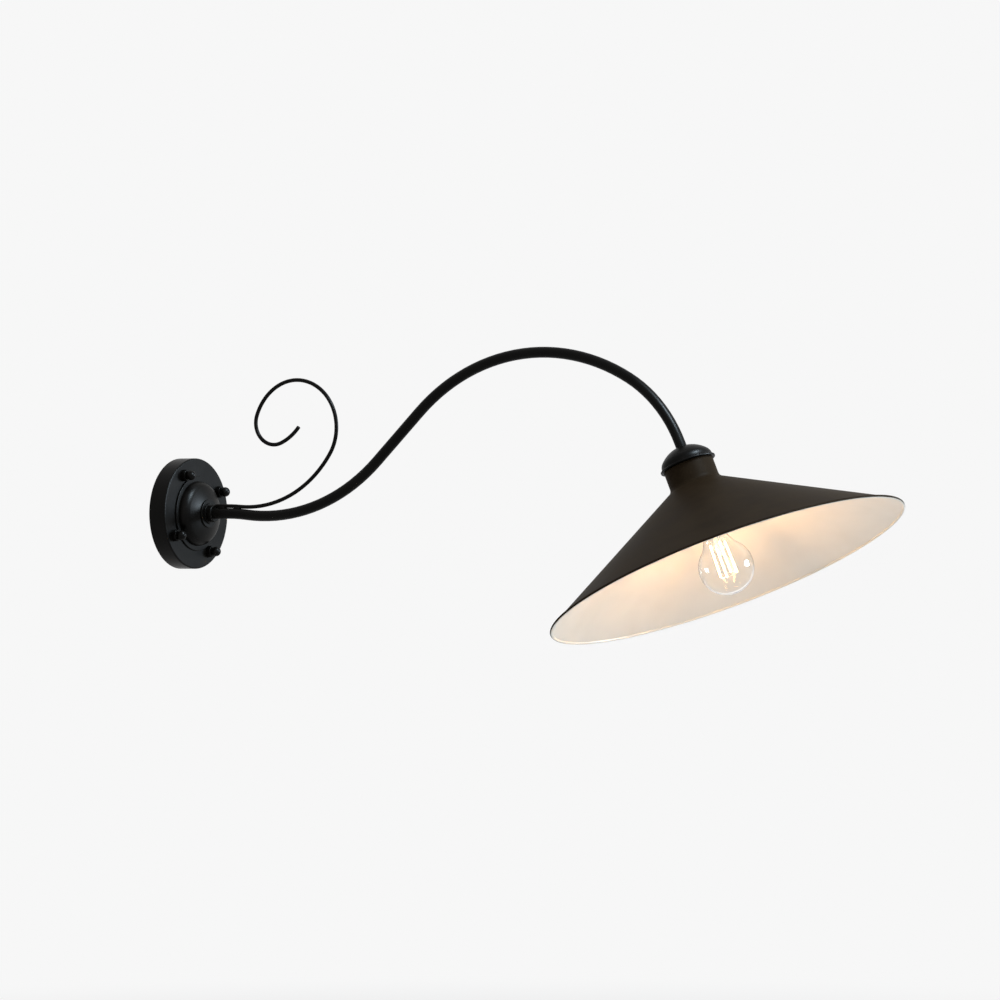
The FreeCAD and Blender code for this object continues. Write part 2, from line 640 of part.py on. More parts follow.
def wall_nipple():
    end = TUBE_START_X + WALL_NIPPLE_IN_TUBE
    return facing_room(ring(NIPPLE_R, NIPPLE_BORE_R, end - WALL_NIPPLE_X, WALL_NIPPLE_X))


def wall_lock_washer():
    return facing_room(toothed_washer(NIPPLE_R + PRESSED_GAP, CANOPY_BACK_OF_FACE - TOOTH_WASHER_T))


def wall_lock_nut():
    return facing_room(hex_nut(LOCK_NUT_FLATS, NIPPLE_R + PRESSED_GAP, LOCK_NUT_T, WALL_NUT_X))


def cable_bush():
    sleeve_r = NIPPLE_BORE_R - PRESSED_GAP
    end = BUSH_FLANGE_T + BUSH_SLEEVE_L
    bush = turned([(BUSH_BORE_R, 0), (BUSH_FLANGE_R, 0, BUSH_EDGE_ROUND),
                   (BUSH_FLANGE_R, BUSH_FLANGE_T), (sleeve_r, BUSH_FLANGE_T),
                   (sleeve_r, end), (BUSH_BORE_R, end)])
    return at(facing_room(bush), BUSH_X, 0, 0)


# ---- connections inside the canopy ----
def block_screw_places():
    return [(BLOCK_Y[way] + BLOCK_Y[way + 1]) / 2.0 for way in range(BLOCK_WAYS - 1)]


def clamp_screw_heights():
    return [BLOCK_MIDDLE_Z - CLAMP_SCREW_SPACING / 2.0, BLOCK_MIDDLE_Z + CLAMP_SCREW_SPACING / 2.0]


def terminal_block():
    width = BLOCK_PITCH * BLOCK_WAYS + 2.0 * BLOCK_END_WALL
    body = Part.makeBox(BLOCK_H, width, BLOCK_L,
                        vector(BRACKET_T, -width / 2.0, BLOCK_TOP_Z - BLOCK_L))
    face_x = BRACKET_T + BLOCK_H - FACE_TOLERANCE
    body = body.makeFillet(BLOCK_EDGE_ROUND,
                           [edge for edge in body.Edges if edge.CenterOfMass.x > face_x])
    cuts = []
    for y in BLOCK_Y:
        cuts.append(Part.makeCylinder(CLAMP_R + PRESSED_GAP, BLOCK_L,
                                      vector(CLAMP_X, y, BLOCK_TOP_Z - BLOCK_L)))
        for z in clamp_screw_heights():
            cuts.append(at(facing_room(disc(CLAMP_SCREW_R + PRESSED_GAP, BLOCK_H)), CLAMP_X, y, z))
    for y in block_screw_places():
        cuts.append(at(facing_room(disc(BLOCK_SCREW_R + PRESSED_GAP, BLOCK_H)),
                       BRACKET_T, y, BLOCK_MIDDLE_Z))
    return body.cut(Part.makeCompound(cuts))


def terminal_clamps():
    clamps = []
    for y in BLOCK_Y:
        foot = vector(CLAMP_X, y, BLOCK_MIDDLE_Z - CLAMP_L / 2.0)
        clamp = Part.makeCylinder(CLAMP_R, CLAMP_L, foot)
        clamp = clamp.cut(Part.makeCylinder(CLAMP_BORE_R, CLAMP_L, foot))
        for z in clamp_screw_heights():
            tapped = facing_room(disc(CLAMP_SCREW_R + PRESSED_GAP, BLOCK_H))
            clamp = clamp.cut(at(tapped, CLAMP_X, y, z))
        clamps.append(clamp)
    return Part.makeCompound(clamps)


def terminal_screws():
    """Slotted grub screws: their tips hold the wires down in the clamps."""
    top = BRACKET_T + BLOCK_H - CLAMP_SCREW_RECESS
    tip = CLAMP_X + WIRE_R + PRESSED_GAP
    slot = Part.makeBox(CLAMP_SLOT_DEPTH, CLAMP_SLOT_W, 2.0 * CLAMP_SCREW_R,
                        vector(top - CLAMP_SLOT_DEPTH, -CLAMP_SLOT_W / 2.0, -CLAMP_SCREW_R))
    screw = facing_room(disc(CLAMP_SCREW_R, top - tip, tip)).cut(slot)
    return Part.makeCompound([at(screw, 0, y, z) for y in BLOCK_Y for z in clamp_screw_heights()])


def block_screws():
    top = BRACKET_T + BLOCK_H
    screw = facing_room(pan_screw(BLOCK_SCREW_HEAD_R, BLOCK_SCREW_HEAD_T, BLOCK_SCREW_R,
                                  top - STUD_BACK, BLOCK_SCREW_SLOT_W))
    return Part.makeCompound([at(screw, top, y, BLOCK_MIDDLE_Z) for y in block_screw_places()])


def earth_screw():
    under_head = BRACKET_T + TAG_T
    screw = pan_screw(EARTH_HEAD_R, EARTH_HEAD_T, EARTH_SCREW_R, under_head - STUD_BACK,
                      EARTH_SLOT_W)
    return at(facing_room(screw), under_head, EARTH_Y, EARTH_Z)


def earth_tag():
    """Ring tag under the earth screw, with the barrel that the earth wire is crimped in."""
    barrel_top = EARTH_Z - TAG_BARREL_GAP
    neck_w = 2.0 * TAG_BARREL_R
    eye = at(facing_room(disc(TAG_R, TAG_T)), BRACKET_T, EARTH_Y, EARTH_Z)
    neck = Part.makeBox(TAG_T, neck_w, TAG_BARREL_GAP + TAG_BARREL_L / 2.0,
                        vector(BRACKET_T, EARTH_Y - neck_w / 2.0, barrel_top - TAG_BARREL_L / 2.0))
    foot = vector(BRACKET_T + TAG_BARREL_R, EARTH_Y, barrel_top - TAG_BARREL_L)
    barrel = Part.makeCylinder(TAG_BARREL_R, TAG_BARREL_L, foot)
    tag = eye.fuse([neck, barrel]).removeSplitter()
    tag = tag.cut(Part.makeCylinder(WIRE_R + PRESSED_GAP, TAG_BARREL_L, foot))
    return tag.cut(at(facing_room(disc(EARTH_SCREW_R + PRESSED_GAP, TAG_T)),
                      BRACKET_T, EARTH_Y, EARTH_Z))


def earth_wire():
    barrel_x = BRACKET_T + TAG_BARREL_R
    barrel_top = EARTH_Z - TAG_BARREL_GAP
    side = BLOCK_Y[-1]
    points = [vector(barrel_x, EARTH_Y, barrel_top - TAG_BARREL_STOP),
              vector(barrel_x, EARTH_Y, barrel_top - TAG_BARREL_L - EARTH_WIRE_TAIL),
              vector(CLAMP_X, side, BLOCK_TOP_Z + EARTH_WIRE_RISE),
              vector(CLAMP_X, side, BLOCK_TOP_Z - WIRE_IN_CLAMP)]
    return swept(rounded_wire(points, [0.0, WIRE_BEND_R, WIRE_BEND_R, 0.0]), WIRE_R)


def conductor(block_y, side):
    """Insulated conductor from the terminal block through the whole arm to the lamp holder."""
    y = side * WIRE_SPREAD
    turn_x = BUSH_X - WIRE_BEND_R
    wall_points = [vector(CLAMP_X, block_y, BLOCK_TOP_Z - WIRE_IN_CLAMP),
                   vector(CLAMP_X, block_y, BLOCK_TOP_Z + WIRE_LEAVES_BLOCK),
                   vector(turn_x, y, -WIRE_BELOW_AXIS),
                   vector(turn_x, y, 0.0), vector(TUBE_START_X, y, 0.0)]
    wall_wire = rounded_wire(wall_points, [0.0, WIRE_BEND_R, WIRE_WALL_BEND_R, WIRE_BEND_R, 0.0])
    terminal_x = TERMINAL_SCREW_R + WIRE_R + PRESSED_GAP
    lie_h = BAR_TOP_H + WIRE_R + PRESSED_GAP
    head_points = [arm_plan(y).place,
                   head_point(0.0, y, HEAD_NIPPLE_H - WIRE_BELOW_NIPPLE),
                   head_point(terminal_x, side * TERMINAL_OFFSET / 2.0, lie_h),
                   head_point(terminal_x, side * (TERMINAL_OFFSET + TERMINAL_SCREW_R), lie_h)]
    head_wire = rounded_wire(head_points, [0.0, WIRE_BEND_R, WIRE_HEAD_BEND_R, 0.0])
    path = Part.Wire(wall_wire.OrderedEdges + arm_plan(y).edges + head_wire.OrderedEdges)
    return swept(path, WIRE_R)


# ---- arm ----
def gooseneck_tube():
    return swept(Part.Wire(arm_plan().edges), TUBE_R, TUBE_BORE_R)


def scroll():
    return swept(Part.Wire(scroll_plan().edges), ROD_R)


def scroll_welds():
    """Weld beads in the groove between the scroll's rod and the tube."""
    groove_h = TUBE_R + WELD_GAP / 2.0
    bead = facing_room(turned([(0, 0), (WELD_R, 0, WELD_END_ROUND),
                               (WELD_R, WELD_L, WELD_END_ROUND), (0, WELD_L)]))
    first = at(bead, SCROLL_START_X + WELD_START, 0, groove_h)
    last = at(bead, TUBE_START_X + ARM_LEVEL, 0, groove_h)
    last.rotate(vector(TUBE_START_X + ARM_LEVEL, 0, -ARM_DIP_R), vector(0, 1, 0),
                SCROLL_FOLLOW_ANGLE / 2.0)
    taken = gooseneck_solid().fuse(scroll())
    return Part.makeCompound([first.cut(taken), last.cut(taken)])


def gooseneck_solid():
    return swept(Part.Wire(arm_plan().edges), TUBE_R)


# ---- head ----
def shade():
    """One spun piece: beaded rim, straight cone, short neck and a closed top with a hole."""
    inner_foot_h = SHADE_BEAD_R - SHADE_HALF_RISE
    inner_neck_r = SHADE_NECK_R - SHADE_WALL
    inner_turn_h = inner_foot_h + (SHADE_BEAD_CENTRE_R - inner_neck_r) * SHADE_TAN
    skin = turned([(SHADE_BEAD_CENTRE_R, inner_foot_h),
                   (SHADE_BEAD_CENTRE_R, SHADE_BEAD_R + SHADE_HALF_RISE),
                   (SHADE_NECK_R, SHADE_TURN_H, SHADE_NECK_ROUND),
                   (SHADE_NECK_R, SHADE_TOP_H, SHADE_TOP_ROUND),
                   (NIPPLE_HOLE_R, SHADE_TOP_H), (NIPPLE_HOLE_R, SHADE_DISC_UNDER_H),
                   (inner_neck_r, SHADE_DISC_UNDER_H, SHADE_TOP_ROUND - SHADE_WALL),
                   (inner_neck_r, inner_turn_h, SHADE_NECK_ROUND + SHADE_WALL)])
    bead = Part.makeTorus(SHADE_BEAD_CENTRE_R, SHADE_BEAD_R, vector(0, 0, SHADE_BEAD_R))
    return in_head(skin.fuse(bead).removeSplitter())


def cap_dome():
    """Spun cap over the neck: a rolled bead, a short band and a flat dome under the tube."""
    bead_foot = -CAP_SKIRT
    seat_r = SHADE_NECK_R - SHADE_TOP_ROUND
    skirt_r = SHADE_NECK_R + HOLE_GAP
    rings = turned([(0, 0), (skirt_r, 0), (skirt_r, bead_foot),
                    (CAP_BEAD_R, bead_foot, CAP_BEAD_ROUND),
                    (CAP_BEAD_R, bead_foot + CAP_BEAD_H, CAP_BEAD_ROUND),
                    (CAP_BAND_R, bead_foot + CAP_BEAD_H),
                    (CAP_BAND_R, bead_foot + CAP_BEAD_H + CAP_BAND_H),
                    (0, bead_foot + CAP_BEAD_H + CAP_BAND_H)])
    dome_base = bead_foot + CAP_BEAD_H + CAP_BAND_H
    outer = at(dome(CAP_BAND_R, CAP_RISE, CAP_SHOULDER_R, CAP_LAND_H - dome_base), 0, 0, dome_base)
    inner = at(dome(CAP_BAND_R - CAP_WALL, CAP_RISE - CAP_WALL, CAP_SHOULDER_R - CAP_WALL,
                    CAP_LAND_H - dome_base - CAP_WALL), 0, 0, dome_base)
    room = disc(seat_r, dome_base).fuse(inner)
    shell = rings.fuse(outer).cut(room).cut(disc(NIPPLE_HOLE_R, CAP_LAND_H))
    return in_head(at(shell.removeSplitter(), 0, 0, SHADE_TOP_H))


def head_nipple():
    top = HEAD_TOP_H + HEAD_NIPPLE_IN_TUBE
    return in_head(ring(NIPPLE_R, NIPPLE_BORE_R, top - HEAD_NIPPLE_H, HEAD_NIPPLE_H))


def head_lock_washer():
    return in_head(toothed_washer(NIPPLE_R + PRESSED_GAP, SHADE_DISC_UNDER_H - TOOTH_WASHER_T))


def head_lock_nut():
    return in_head(hex_nut(LOCK_NUT_FLATS, NIPPLE_R + PRESSED_GAP, LOCK_NUT_T, HEAD_NUT_H))


# ---- lamp holder ----
def holder_cap():
    inner_r = HOLDER_CAP_R - HOLDER_CAP_WALL
    bore_r = NIPPLE_R + PRESSED_GAP
    entry_top = HOLDER_ROOF_TOP_H + HOLDER_ENTRY_L
    return in_head(turned([
        (inner_r, HOLDER_CAP_H), (HOLDER_CAP_R, HOLDER_CAP_H),
        (HOLDER_CAP_R, HOLDER_ROOF_TOP_H, HOLDER_CAP_ROUND),
        (HOLDER_ENTRY_R, HOLDER_ROOF_TOP_H, HOLDER_ENTRY_FOOT_ROUND),
        (HOLDER_ENTRY_R, entry_top, HOLDER_ENTRY_ROUND), (bore_r, entry_top),
        (bore_r, HOLDER_ROOF_H), (inner_r, HOLDER_ROOF_H, HOLDER_CAP_ROUND - HOLDER_CAP_WALL)]))


def holder_body():
    """Porcelain body: a bore for the screw shell, and a floor with holes for the contacts."""
    shell_pocket_r = SHELL_R + PRESSED_GAP
    mouth_r = SHELL_R - SHELL_WALL
    lip_top = HOLDER_MOUTH_H + HOLDER_LIP
    body = turned([(mouth_r, HOLDER_MOUTH_H), (HOLDER_BODY_R, HOLDER_MOUTH_H, HOLDER_EDGE_ROUND),
                   (HOLDER_BODY_R, HOLDER_CAP_H, HOLDER_EDGE_ROUND), (0, HOLDER_CAP_H),
                   (0, HOLDER_FLOOR_H), (shell_pocket_r, HOLDER_FLOOR_H),
                   (shell_pocket_r, lip_top), (mouth_r, lip_top)])
    stem_hole = disc(CONTACT_STEM_R + PRESSED_GAP, HOLDER_FLOOR_T, HOLDER_FLOOR_H)
    post_hole = disc(SHELL_POST_R + PRESSED_GAP, HOLDER_FLOOR_T, HOLDER_FLOOR_H)
    screw_hole = disc(TERMINAL_SCREW_R + PRESSED_GAP, HOLDER_FLOOR_T / 2.0,
                      HOLDER_CAP_H - HOLDER_FLOOR_T / 2.0)
    return in_head(body.cut(Part.makeCompound([stem_hole, at(post_hole, 0, TERMINAL_OFFSET, 0),
                                               at(screw_hole, 0, -TERMINAL_OFFSET, 0)])))


def terminal_bar(inner_y, side):
    """Brass bar on the holder's floor, from inner_y to beyond its screw on the given side."""
    outer_y = side * (TERMINAL_OFFSET + TERMINAL_BAR_MARGIN)
    return Part.makeBox(TERMINAL_BAR_W, abs(outer_y - inner_y), TERMINAL_BAR_T,
                        vector(-TERMINAL_BAR_W / 2.0, min(inner_y, outer_y), HOLDER_CAP_H))


def tapped_hole(side):
    depth = TERMINAL_BAR_T + TERMINAL_SCREW_BELOW
    return at(disc(TERMINAL_SCREW_R + PRESSED_GAP, depth, BAR_TOP_H - depth),
              0, side * TERMINAL_OFFSET, 0)


def centre_contact():
    """Button over the bulb's tip, its stem through the floor and the live terminal's bar."""
    button_h = BULB_TOP_H + LOOSE_GAP
    button = disc(CONTACT_DISC_R, CONTACT_DISC_T, button_h)
    stem = disc(CONTACT_STEM_R, BAR_TOP_H - button_h, button_h)
    bar = terminal_bar(CONTACT_STEM_R, -1.0)
    return in_head(button.fuse([stem, bar]).removeSplitter().cut(tapped_hole(-1.0)))


def shell_terminal():
    """Post from the screw shell's ring up through the floor to the neutral terminal's bar."""
    post = at(disc(SHELL_POST_R, HOLDER_FLOOR_T, HOLDER_FLOOR_H), 0, TERMINAL_OFFSET, 0)
    bar = terminal_bar(TERMINAL_OFFSET - TERMINAL_BAR_MARGIN, 1.0)
    return in_head(post.fuse(bar).removeSplitter().cut(tapped_hole(1.0)))


def holder_screws():
    under_head = BAR_TOP_H + 2.0 * (WIRE_R + PRESSED_GAP)
    screw = pan_screw(TERMINAL_HEAD_R, TERMINAL_HEAD_T, TERMINAL_SCREW_R,
                      under_head - BAR_TOP_H + TERMINAL_BAR_T + TERMINAL_SCREW_BELOW,
                      TERMINAL_SLOT_W)
    screws = [at(screw, 0, side * TERMINAL_OFFSET, under_head) for side in (-1.0, 1.0)]
    return in_head(Part.makeCompound(screws))


def screw_shell():
    """Brass shell that the bulb screws into, with a ring at its closed end."""
    inner_r = SHELL_R - SHELL_WALL
    base = HOLDER_MOUTH_H + HOLDER_LIP
    return in_head(turned([(inner_r, base), (SHELL_R, base), (SHELL_R, HOLDER_FLOOR_H),
                           (SHELL_RING_R, HOLDER_FLOOR_H),
                           (SHELL_RING_R, HOLDER_FLOOR_H - SHELL_WALL),
                           (inner_r, HOLDER_FLOOR_H - SHELL_WALL)]))


# ---- bulb ----
def bulb_form(inset):
    """Solid of the bulb's glass outline, moved inwards by inset: globe, hollow sweep, neck."""
    globe_r = GLOBE_R - inset
    sweep_r = GLASS_NECK_SWEEP_R + inset
    sweep_centre_r = GLASS_NECK_R + GLASS_NECK_SWEEP_R
    join_angle = math.atan2(BULB_CAP_H - GLOBE_CENTRE_H, sweep_centre_r)
    middle_angle = (join_angle - math.pi / 2.0) / 2.0
    pole = vector(0, 0, GLOBE_CENTRE_H - globe_r)
    globe_middle = vector(globe_r * math.cos(middle_angle), 0,
                          GLOBE_CENTRE_H + globe_r * math.sin(middle_angle))
    join = vector(globe_r * math.cos(join_angle), 0,
                  GLOBE_CENTRE_H + globe_r * math.sin(join_angle))
    sweep_middle = vector(sweep_centre_r - sweep_r * math.cos(join_angle / 2.0), 0,
                          BULB_CAP_H - sweep_r * math.sin(join_angle / 2.0))
    neck_foot = vector(GLASS_NECK_R - inset, 0, BULB_CAP_H)
    neck_end = vector(GLASS_NECK_R - inset, 0, BULB_CAP_H + GLASS_NECK_L)
    axis_end = vector(0, 0, BULB_CAP_H + GLASS_NECK_L)
    wire = Part.Wire([Part.Arc(pole, globe_middle, join).toShape(),
                      Part.Arc(join, sweep_middle, neck_foot).toShape(),
                      Part.makeLine(neck_foot, neck_end),
                      Part.makeLine(neck_end, axis_end), Part.makeLine(axis_end, pole)])
    return Part.Face(wire).revolve(ORIGIN, UP, 360.0)


def bulb_glass():
    return in_head(bulb_form(0.0).cut(bulb_form(GLASS_T)))


def bulb_cap():
    """Cap shell: a plain skirt round the glass, and rounded rings in place of the thread."""
    root_r = BULB_CAP_R - THREAD_DEPTH
    inner_r = root_r - BULB_CAP_SHEET
    skirt_inner_r = BULB_CAP_R - BULB_CAP_SHEET
    corners = [(skirt_inner_r, BULB_CAP_H), (BULB_CAP_R, BULB_CAP_H),
               (BULB_CAP_R, THREAD_H, BULB_SKIRT_ROUND),
               (root_r, THREAD_H + THREAD_DEPTH, BULB_SKIRT_ROUND)]
    for turn in range(THREAD_TURNS - 1):
        crest_h = THREAD_H + THREAD_PITCH * (turn + THREAD_FIRST_CREST)
        corners.append((BULB_CAP_R, crest_h, THREAD_CREST_ROUND))
        corners.append((root_r, crest_h + THREAD_PITCH / 2.0, THREAD_ROOT_ROUND))
    corners += [(root_r, BULB_CAP_END_H), (inner_r, BULB_CAP_END_H), (inner_r, THREAD_H),
                (skirt_inner_r, THREAD_H)]
    return in_head(turned(corners))


def bulb_insulator():
    end_h = BULB_CAP_END_H + INSULATOR_H
    return in_head(turned([(0, BULB_CAP_END_H), (BULB_CAP_R - THREAD_DEPTH, BULB_CAP_END_H),
                           (INSULATOR_TOP_R, end_h), (0, end_h)]))


def bulb_contact():
    foot = BULB_CAP_END_H + INSULATOR_H
    return in_head(turned([(0, foot), (BULB_CONTACT_R, foot),
                           (BULB_CONTACT_R, foot + BULB_CONTACT_T, BULB_CONTACT_ROUND),
                           (0, foot + BULB_CONTACT_T)]))


def stem_end_height():
    return BULB_CAP_H + GLASS_NECK_L - STEM_FLARE_L - STEM_L


def stem_shape():
    flare_r = GLASS_NECK_R - GLASS_T - PRESSED_GAP
    flare_top = BULB_CAP_H + GLASS_NECK_L
    flare_foot = flare_top - STEM_FLARE_L
    return in_head(turned([(0, stem_end_height()), (STEM_R, stem_end_height(), STEM_TIP_ROUND),
                           (STEM_R, flare_foot, STEM_R), (flare_r, flare_top),
                           (flare_r - STEM_WALL, flare_top),
                           (STEM_R - STEM_WALL, flare_foot + STEM_WALL),
                           (0, flare_foot + STEM_WALL)]))


def filament_ends(turn):
    """Top and foot of one filament, in the head's frame."""
    angle = math.radians((turn + 0.5) * 360.0 / FILAMENT_COUNT)
    splay = FILAMENT_FOOT_RING_R - FILAMENT_TOP_RING_R
    top_h = FILAMENT_FOOT_H + math.sqrt(FILAMENT_L ** 2 - splay ** 2)
    across = vector(math.cos(angle), math.sin(angle), 0)
    top = across * FILAMENT_TOP_RING_R + UP * top_h
    foot = across * FILAMENT_FOOT_RING_R + UP * FILAMENT_FOOT_H
    return top, foot


def filament_shape():
    rods = []
    for turn in range(FILAMENT_COUNT):
        top, foot = filament_ends(turn)
        rods.append(Part.makeCylinder(FILAMENT_R, FILAMENT_L, foot, top - foot))
    return in_head(Part.makeCompound(rods))


def filament_leads():
    """Thin wires from the stem to each filament's top, and a ring that joins their feet."""
    stem_foot = vector(0, 0, stem_end_height() + STEM_R)
    wires = [Part.makeTorus(FILAMENT_FOOT_RING_R, LEAD_R, vector(0, 0, FILAMENT_FOOT_H))]
    for turn in range(FILAMENT_COUNT):
        top, foot = filament_ends(turn)
        start = stem_foot + vector(top.x, top.y, 0) * (LEAD_ROOT_R / FILAMENT_TOP_RING_R)
        wires.append(Part.makeCylinder(LEAD_R, (top - start).Length, start, top - start))
    leads = [in_head(wire).cut(stem_shape()).cut(filament_shape()) for wire in wires]
    return Part.makeCompound([solid for lead in leads for solid in lead.Solids])


def bulb_driver():
    """Round driver board across the cap, with one capacitor on it."""
    board_h = BULB_CAP_H + GLASS_NECK_L + DRIVER_GAP
    board_r = BULB_CAP_R - THREAD_DEPTH - BULB_CAP_SHEET - DRIVER_EDGE_GAP
    board = disc(board_r, DRIVER_T, board_h)
    capacitor = disc(DRIVER_CAPACITOR_R, DRIVER_CAPACITOR_L, board_h + DRIVER_T)
    return in_head(board.fuse(capacitor))


# ---- the nodes ----
NODES = {
    "wall_bracket": wall_bracket,
    "bracket_studs": bracket_studs,
    "bracket_nuts": bracket_nuts,
    "canopy": canopy,
    "ball_nuts": ball_nuts,
    "dome_boss": dome_boss,
    "collar_washer": collar_washer,
    "arm_collar": arm_collar,
    "wall_nipple": wall_nipple,
    "wall_lock_washer": wall_lock_washer,
    "wall_lock_nut": wall_lock_nut,
    "cable_bush": cable_bush,
    "terminal_block": terminal_block,
    "terminal_clamps": terminal_clamps,
    "terminal_screws": terminal_screws,
    "block_screws": block_screws,
    "earth_screw": earth_screw,
    "earth_tag": earth_tag,
    "earth_wire": earth_wire,
    "live_wire": lambda: conductor(BLOCK_Y[0], -1.0),
    "neutral_wire": lambda: conductor(BLOCK_Y[1], 1.0),
    "gooseneck_tube": gooseneck_tube,
    "scroll": scroll,
    "scroll_welds": scroll_welds,
    "cap_dome": cap_dome,
    "shade": shade,
    "head_nipple": head_nipple,
    "head_lock_washer": head_lock_washer,
    "head_lock_nut": head_lock_nut,
    "holder_cap": holder_cap,
    "holder_body": holder_body,
    "screw_shell": screw_shell,
    "centre_contact": centre_contact,
    "shell_terminal": shell_terminal,
    "holder_screws": holder_screws,
    "bulb_glass": bulb_glass,
    "bulb_stem": stem_shape,
    "bulb_filaments": filament_shape,
    "filament_leads": filament_leads,
    "bulb_cap": bulb_cap,
    "bulb_insulator": bulb_insulator,
    "bulb_contact": bulb_contact,
    "bulb_driver": bulb_driver,
}


def main():
    os.makedirs("parts", exist_ok=True)
    print("rim centre %.1f, %.1f; tube end %.1f, %.1f"
          % (RIM_CENTRE.x, RIM_CENTRE.z, ARM_END.x, ARM_END.z))
    for name, make in NODES.items():
        make().exportStep("parts/%s.step" % name)


main()
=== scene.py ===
"""Looks of the gooseneck wall sconce: finishes, spun shade, screw cap, studio and camera."""
import json
import logging
import math
from dataclasses import dataclass
from enum import Enum

import bpy
from mathutils import Matrix, Vector


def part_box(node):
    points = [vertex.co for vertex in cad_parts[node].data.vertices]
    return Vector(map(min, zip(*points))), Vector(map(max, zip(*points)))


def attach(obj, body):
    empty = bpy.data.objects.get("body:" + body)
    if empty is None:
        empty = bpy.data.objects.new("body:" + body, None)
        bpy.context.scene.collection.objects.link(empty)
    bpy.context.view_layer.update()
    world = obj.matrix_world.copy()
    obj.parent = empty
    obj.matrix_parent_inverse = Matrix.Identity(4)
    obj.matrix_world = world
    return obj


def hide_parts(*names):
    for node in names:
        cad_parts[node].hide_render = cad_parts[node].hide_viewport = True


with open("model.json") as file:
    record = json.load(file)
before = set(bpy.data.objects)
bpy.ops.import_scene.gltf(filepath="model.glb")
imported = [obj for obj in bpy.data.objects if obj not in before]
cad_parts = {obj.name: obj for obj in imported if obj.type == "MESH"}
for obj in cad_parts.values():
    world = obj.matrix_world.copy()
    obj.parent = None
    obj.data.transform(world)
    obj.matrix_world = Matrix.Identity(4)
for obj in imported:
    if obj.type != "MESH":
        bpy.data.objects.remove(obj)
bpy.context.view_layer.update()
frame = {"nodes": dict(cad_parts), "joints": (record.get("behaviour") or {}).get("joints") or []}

MM = 0.001
Colour = tuple[float, float, float]
Point = tuple[float, float, float]
LOG = logging.getLogger("sconce")


# ---- shader building ----
class Link:
    """One output of a shader node; arithmetic on it adds Math nodes."""

    def __init__(self, mixture: "Mixture", socket: bpy.types.NodeSocket) -> None:
        """Keeps the socket and the mixture that it belongs to."""
        self.mixture = mixture
        self.socket = socket

    def math(self, operation: str, first: "Link | float", second: "Link | float") -> "Link":
        """Adds one Math node.

        Args:
            operation: the Math node's operation.
            first: its first value.
            second: its second value.

        Returns:
            The node's result.
        """
        return self.mixture.node("ShaderNodeMath", {"operation": operation},
                                 {0: first, 1: second})

    def __add__(self, other: "Link | float") -> "Link":
        """Sum."""
        return self.math("ADD", self, other)

    __radd__ = __add__

    def __sub__(self, other: "Link | float") -> "Link":
        """Difference."""
        return self.math("SUBTRACT", self, other)

    def __mul__(self, other: "Link | float") -> "Link":
        """Product."""
        return self.math("MULTIPLY", self, other)

    def __truediv__(self, other: "Link | float") -> "Link":
        """Quotient."""
        return self.math("DIVIDE", self, other)

    def __or__(self, other: "Link | float") -> "Link":
        """The larger of two values, so that two masks join."""
        return self.math("MAXIMUM", self, other)


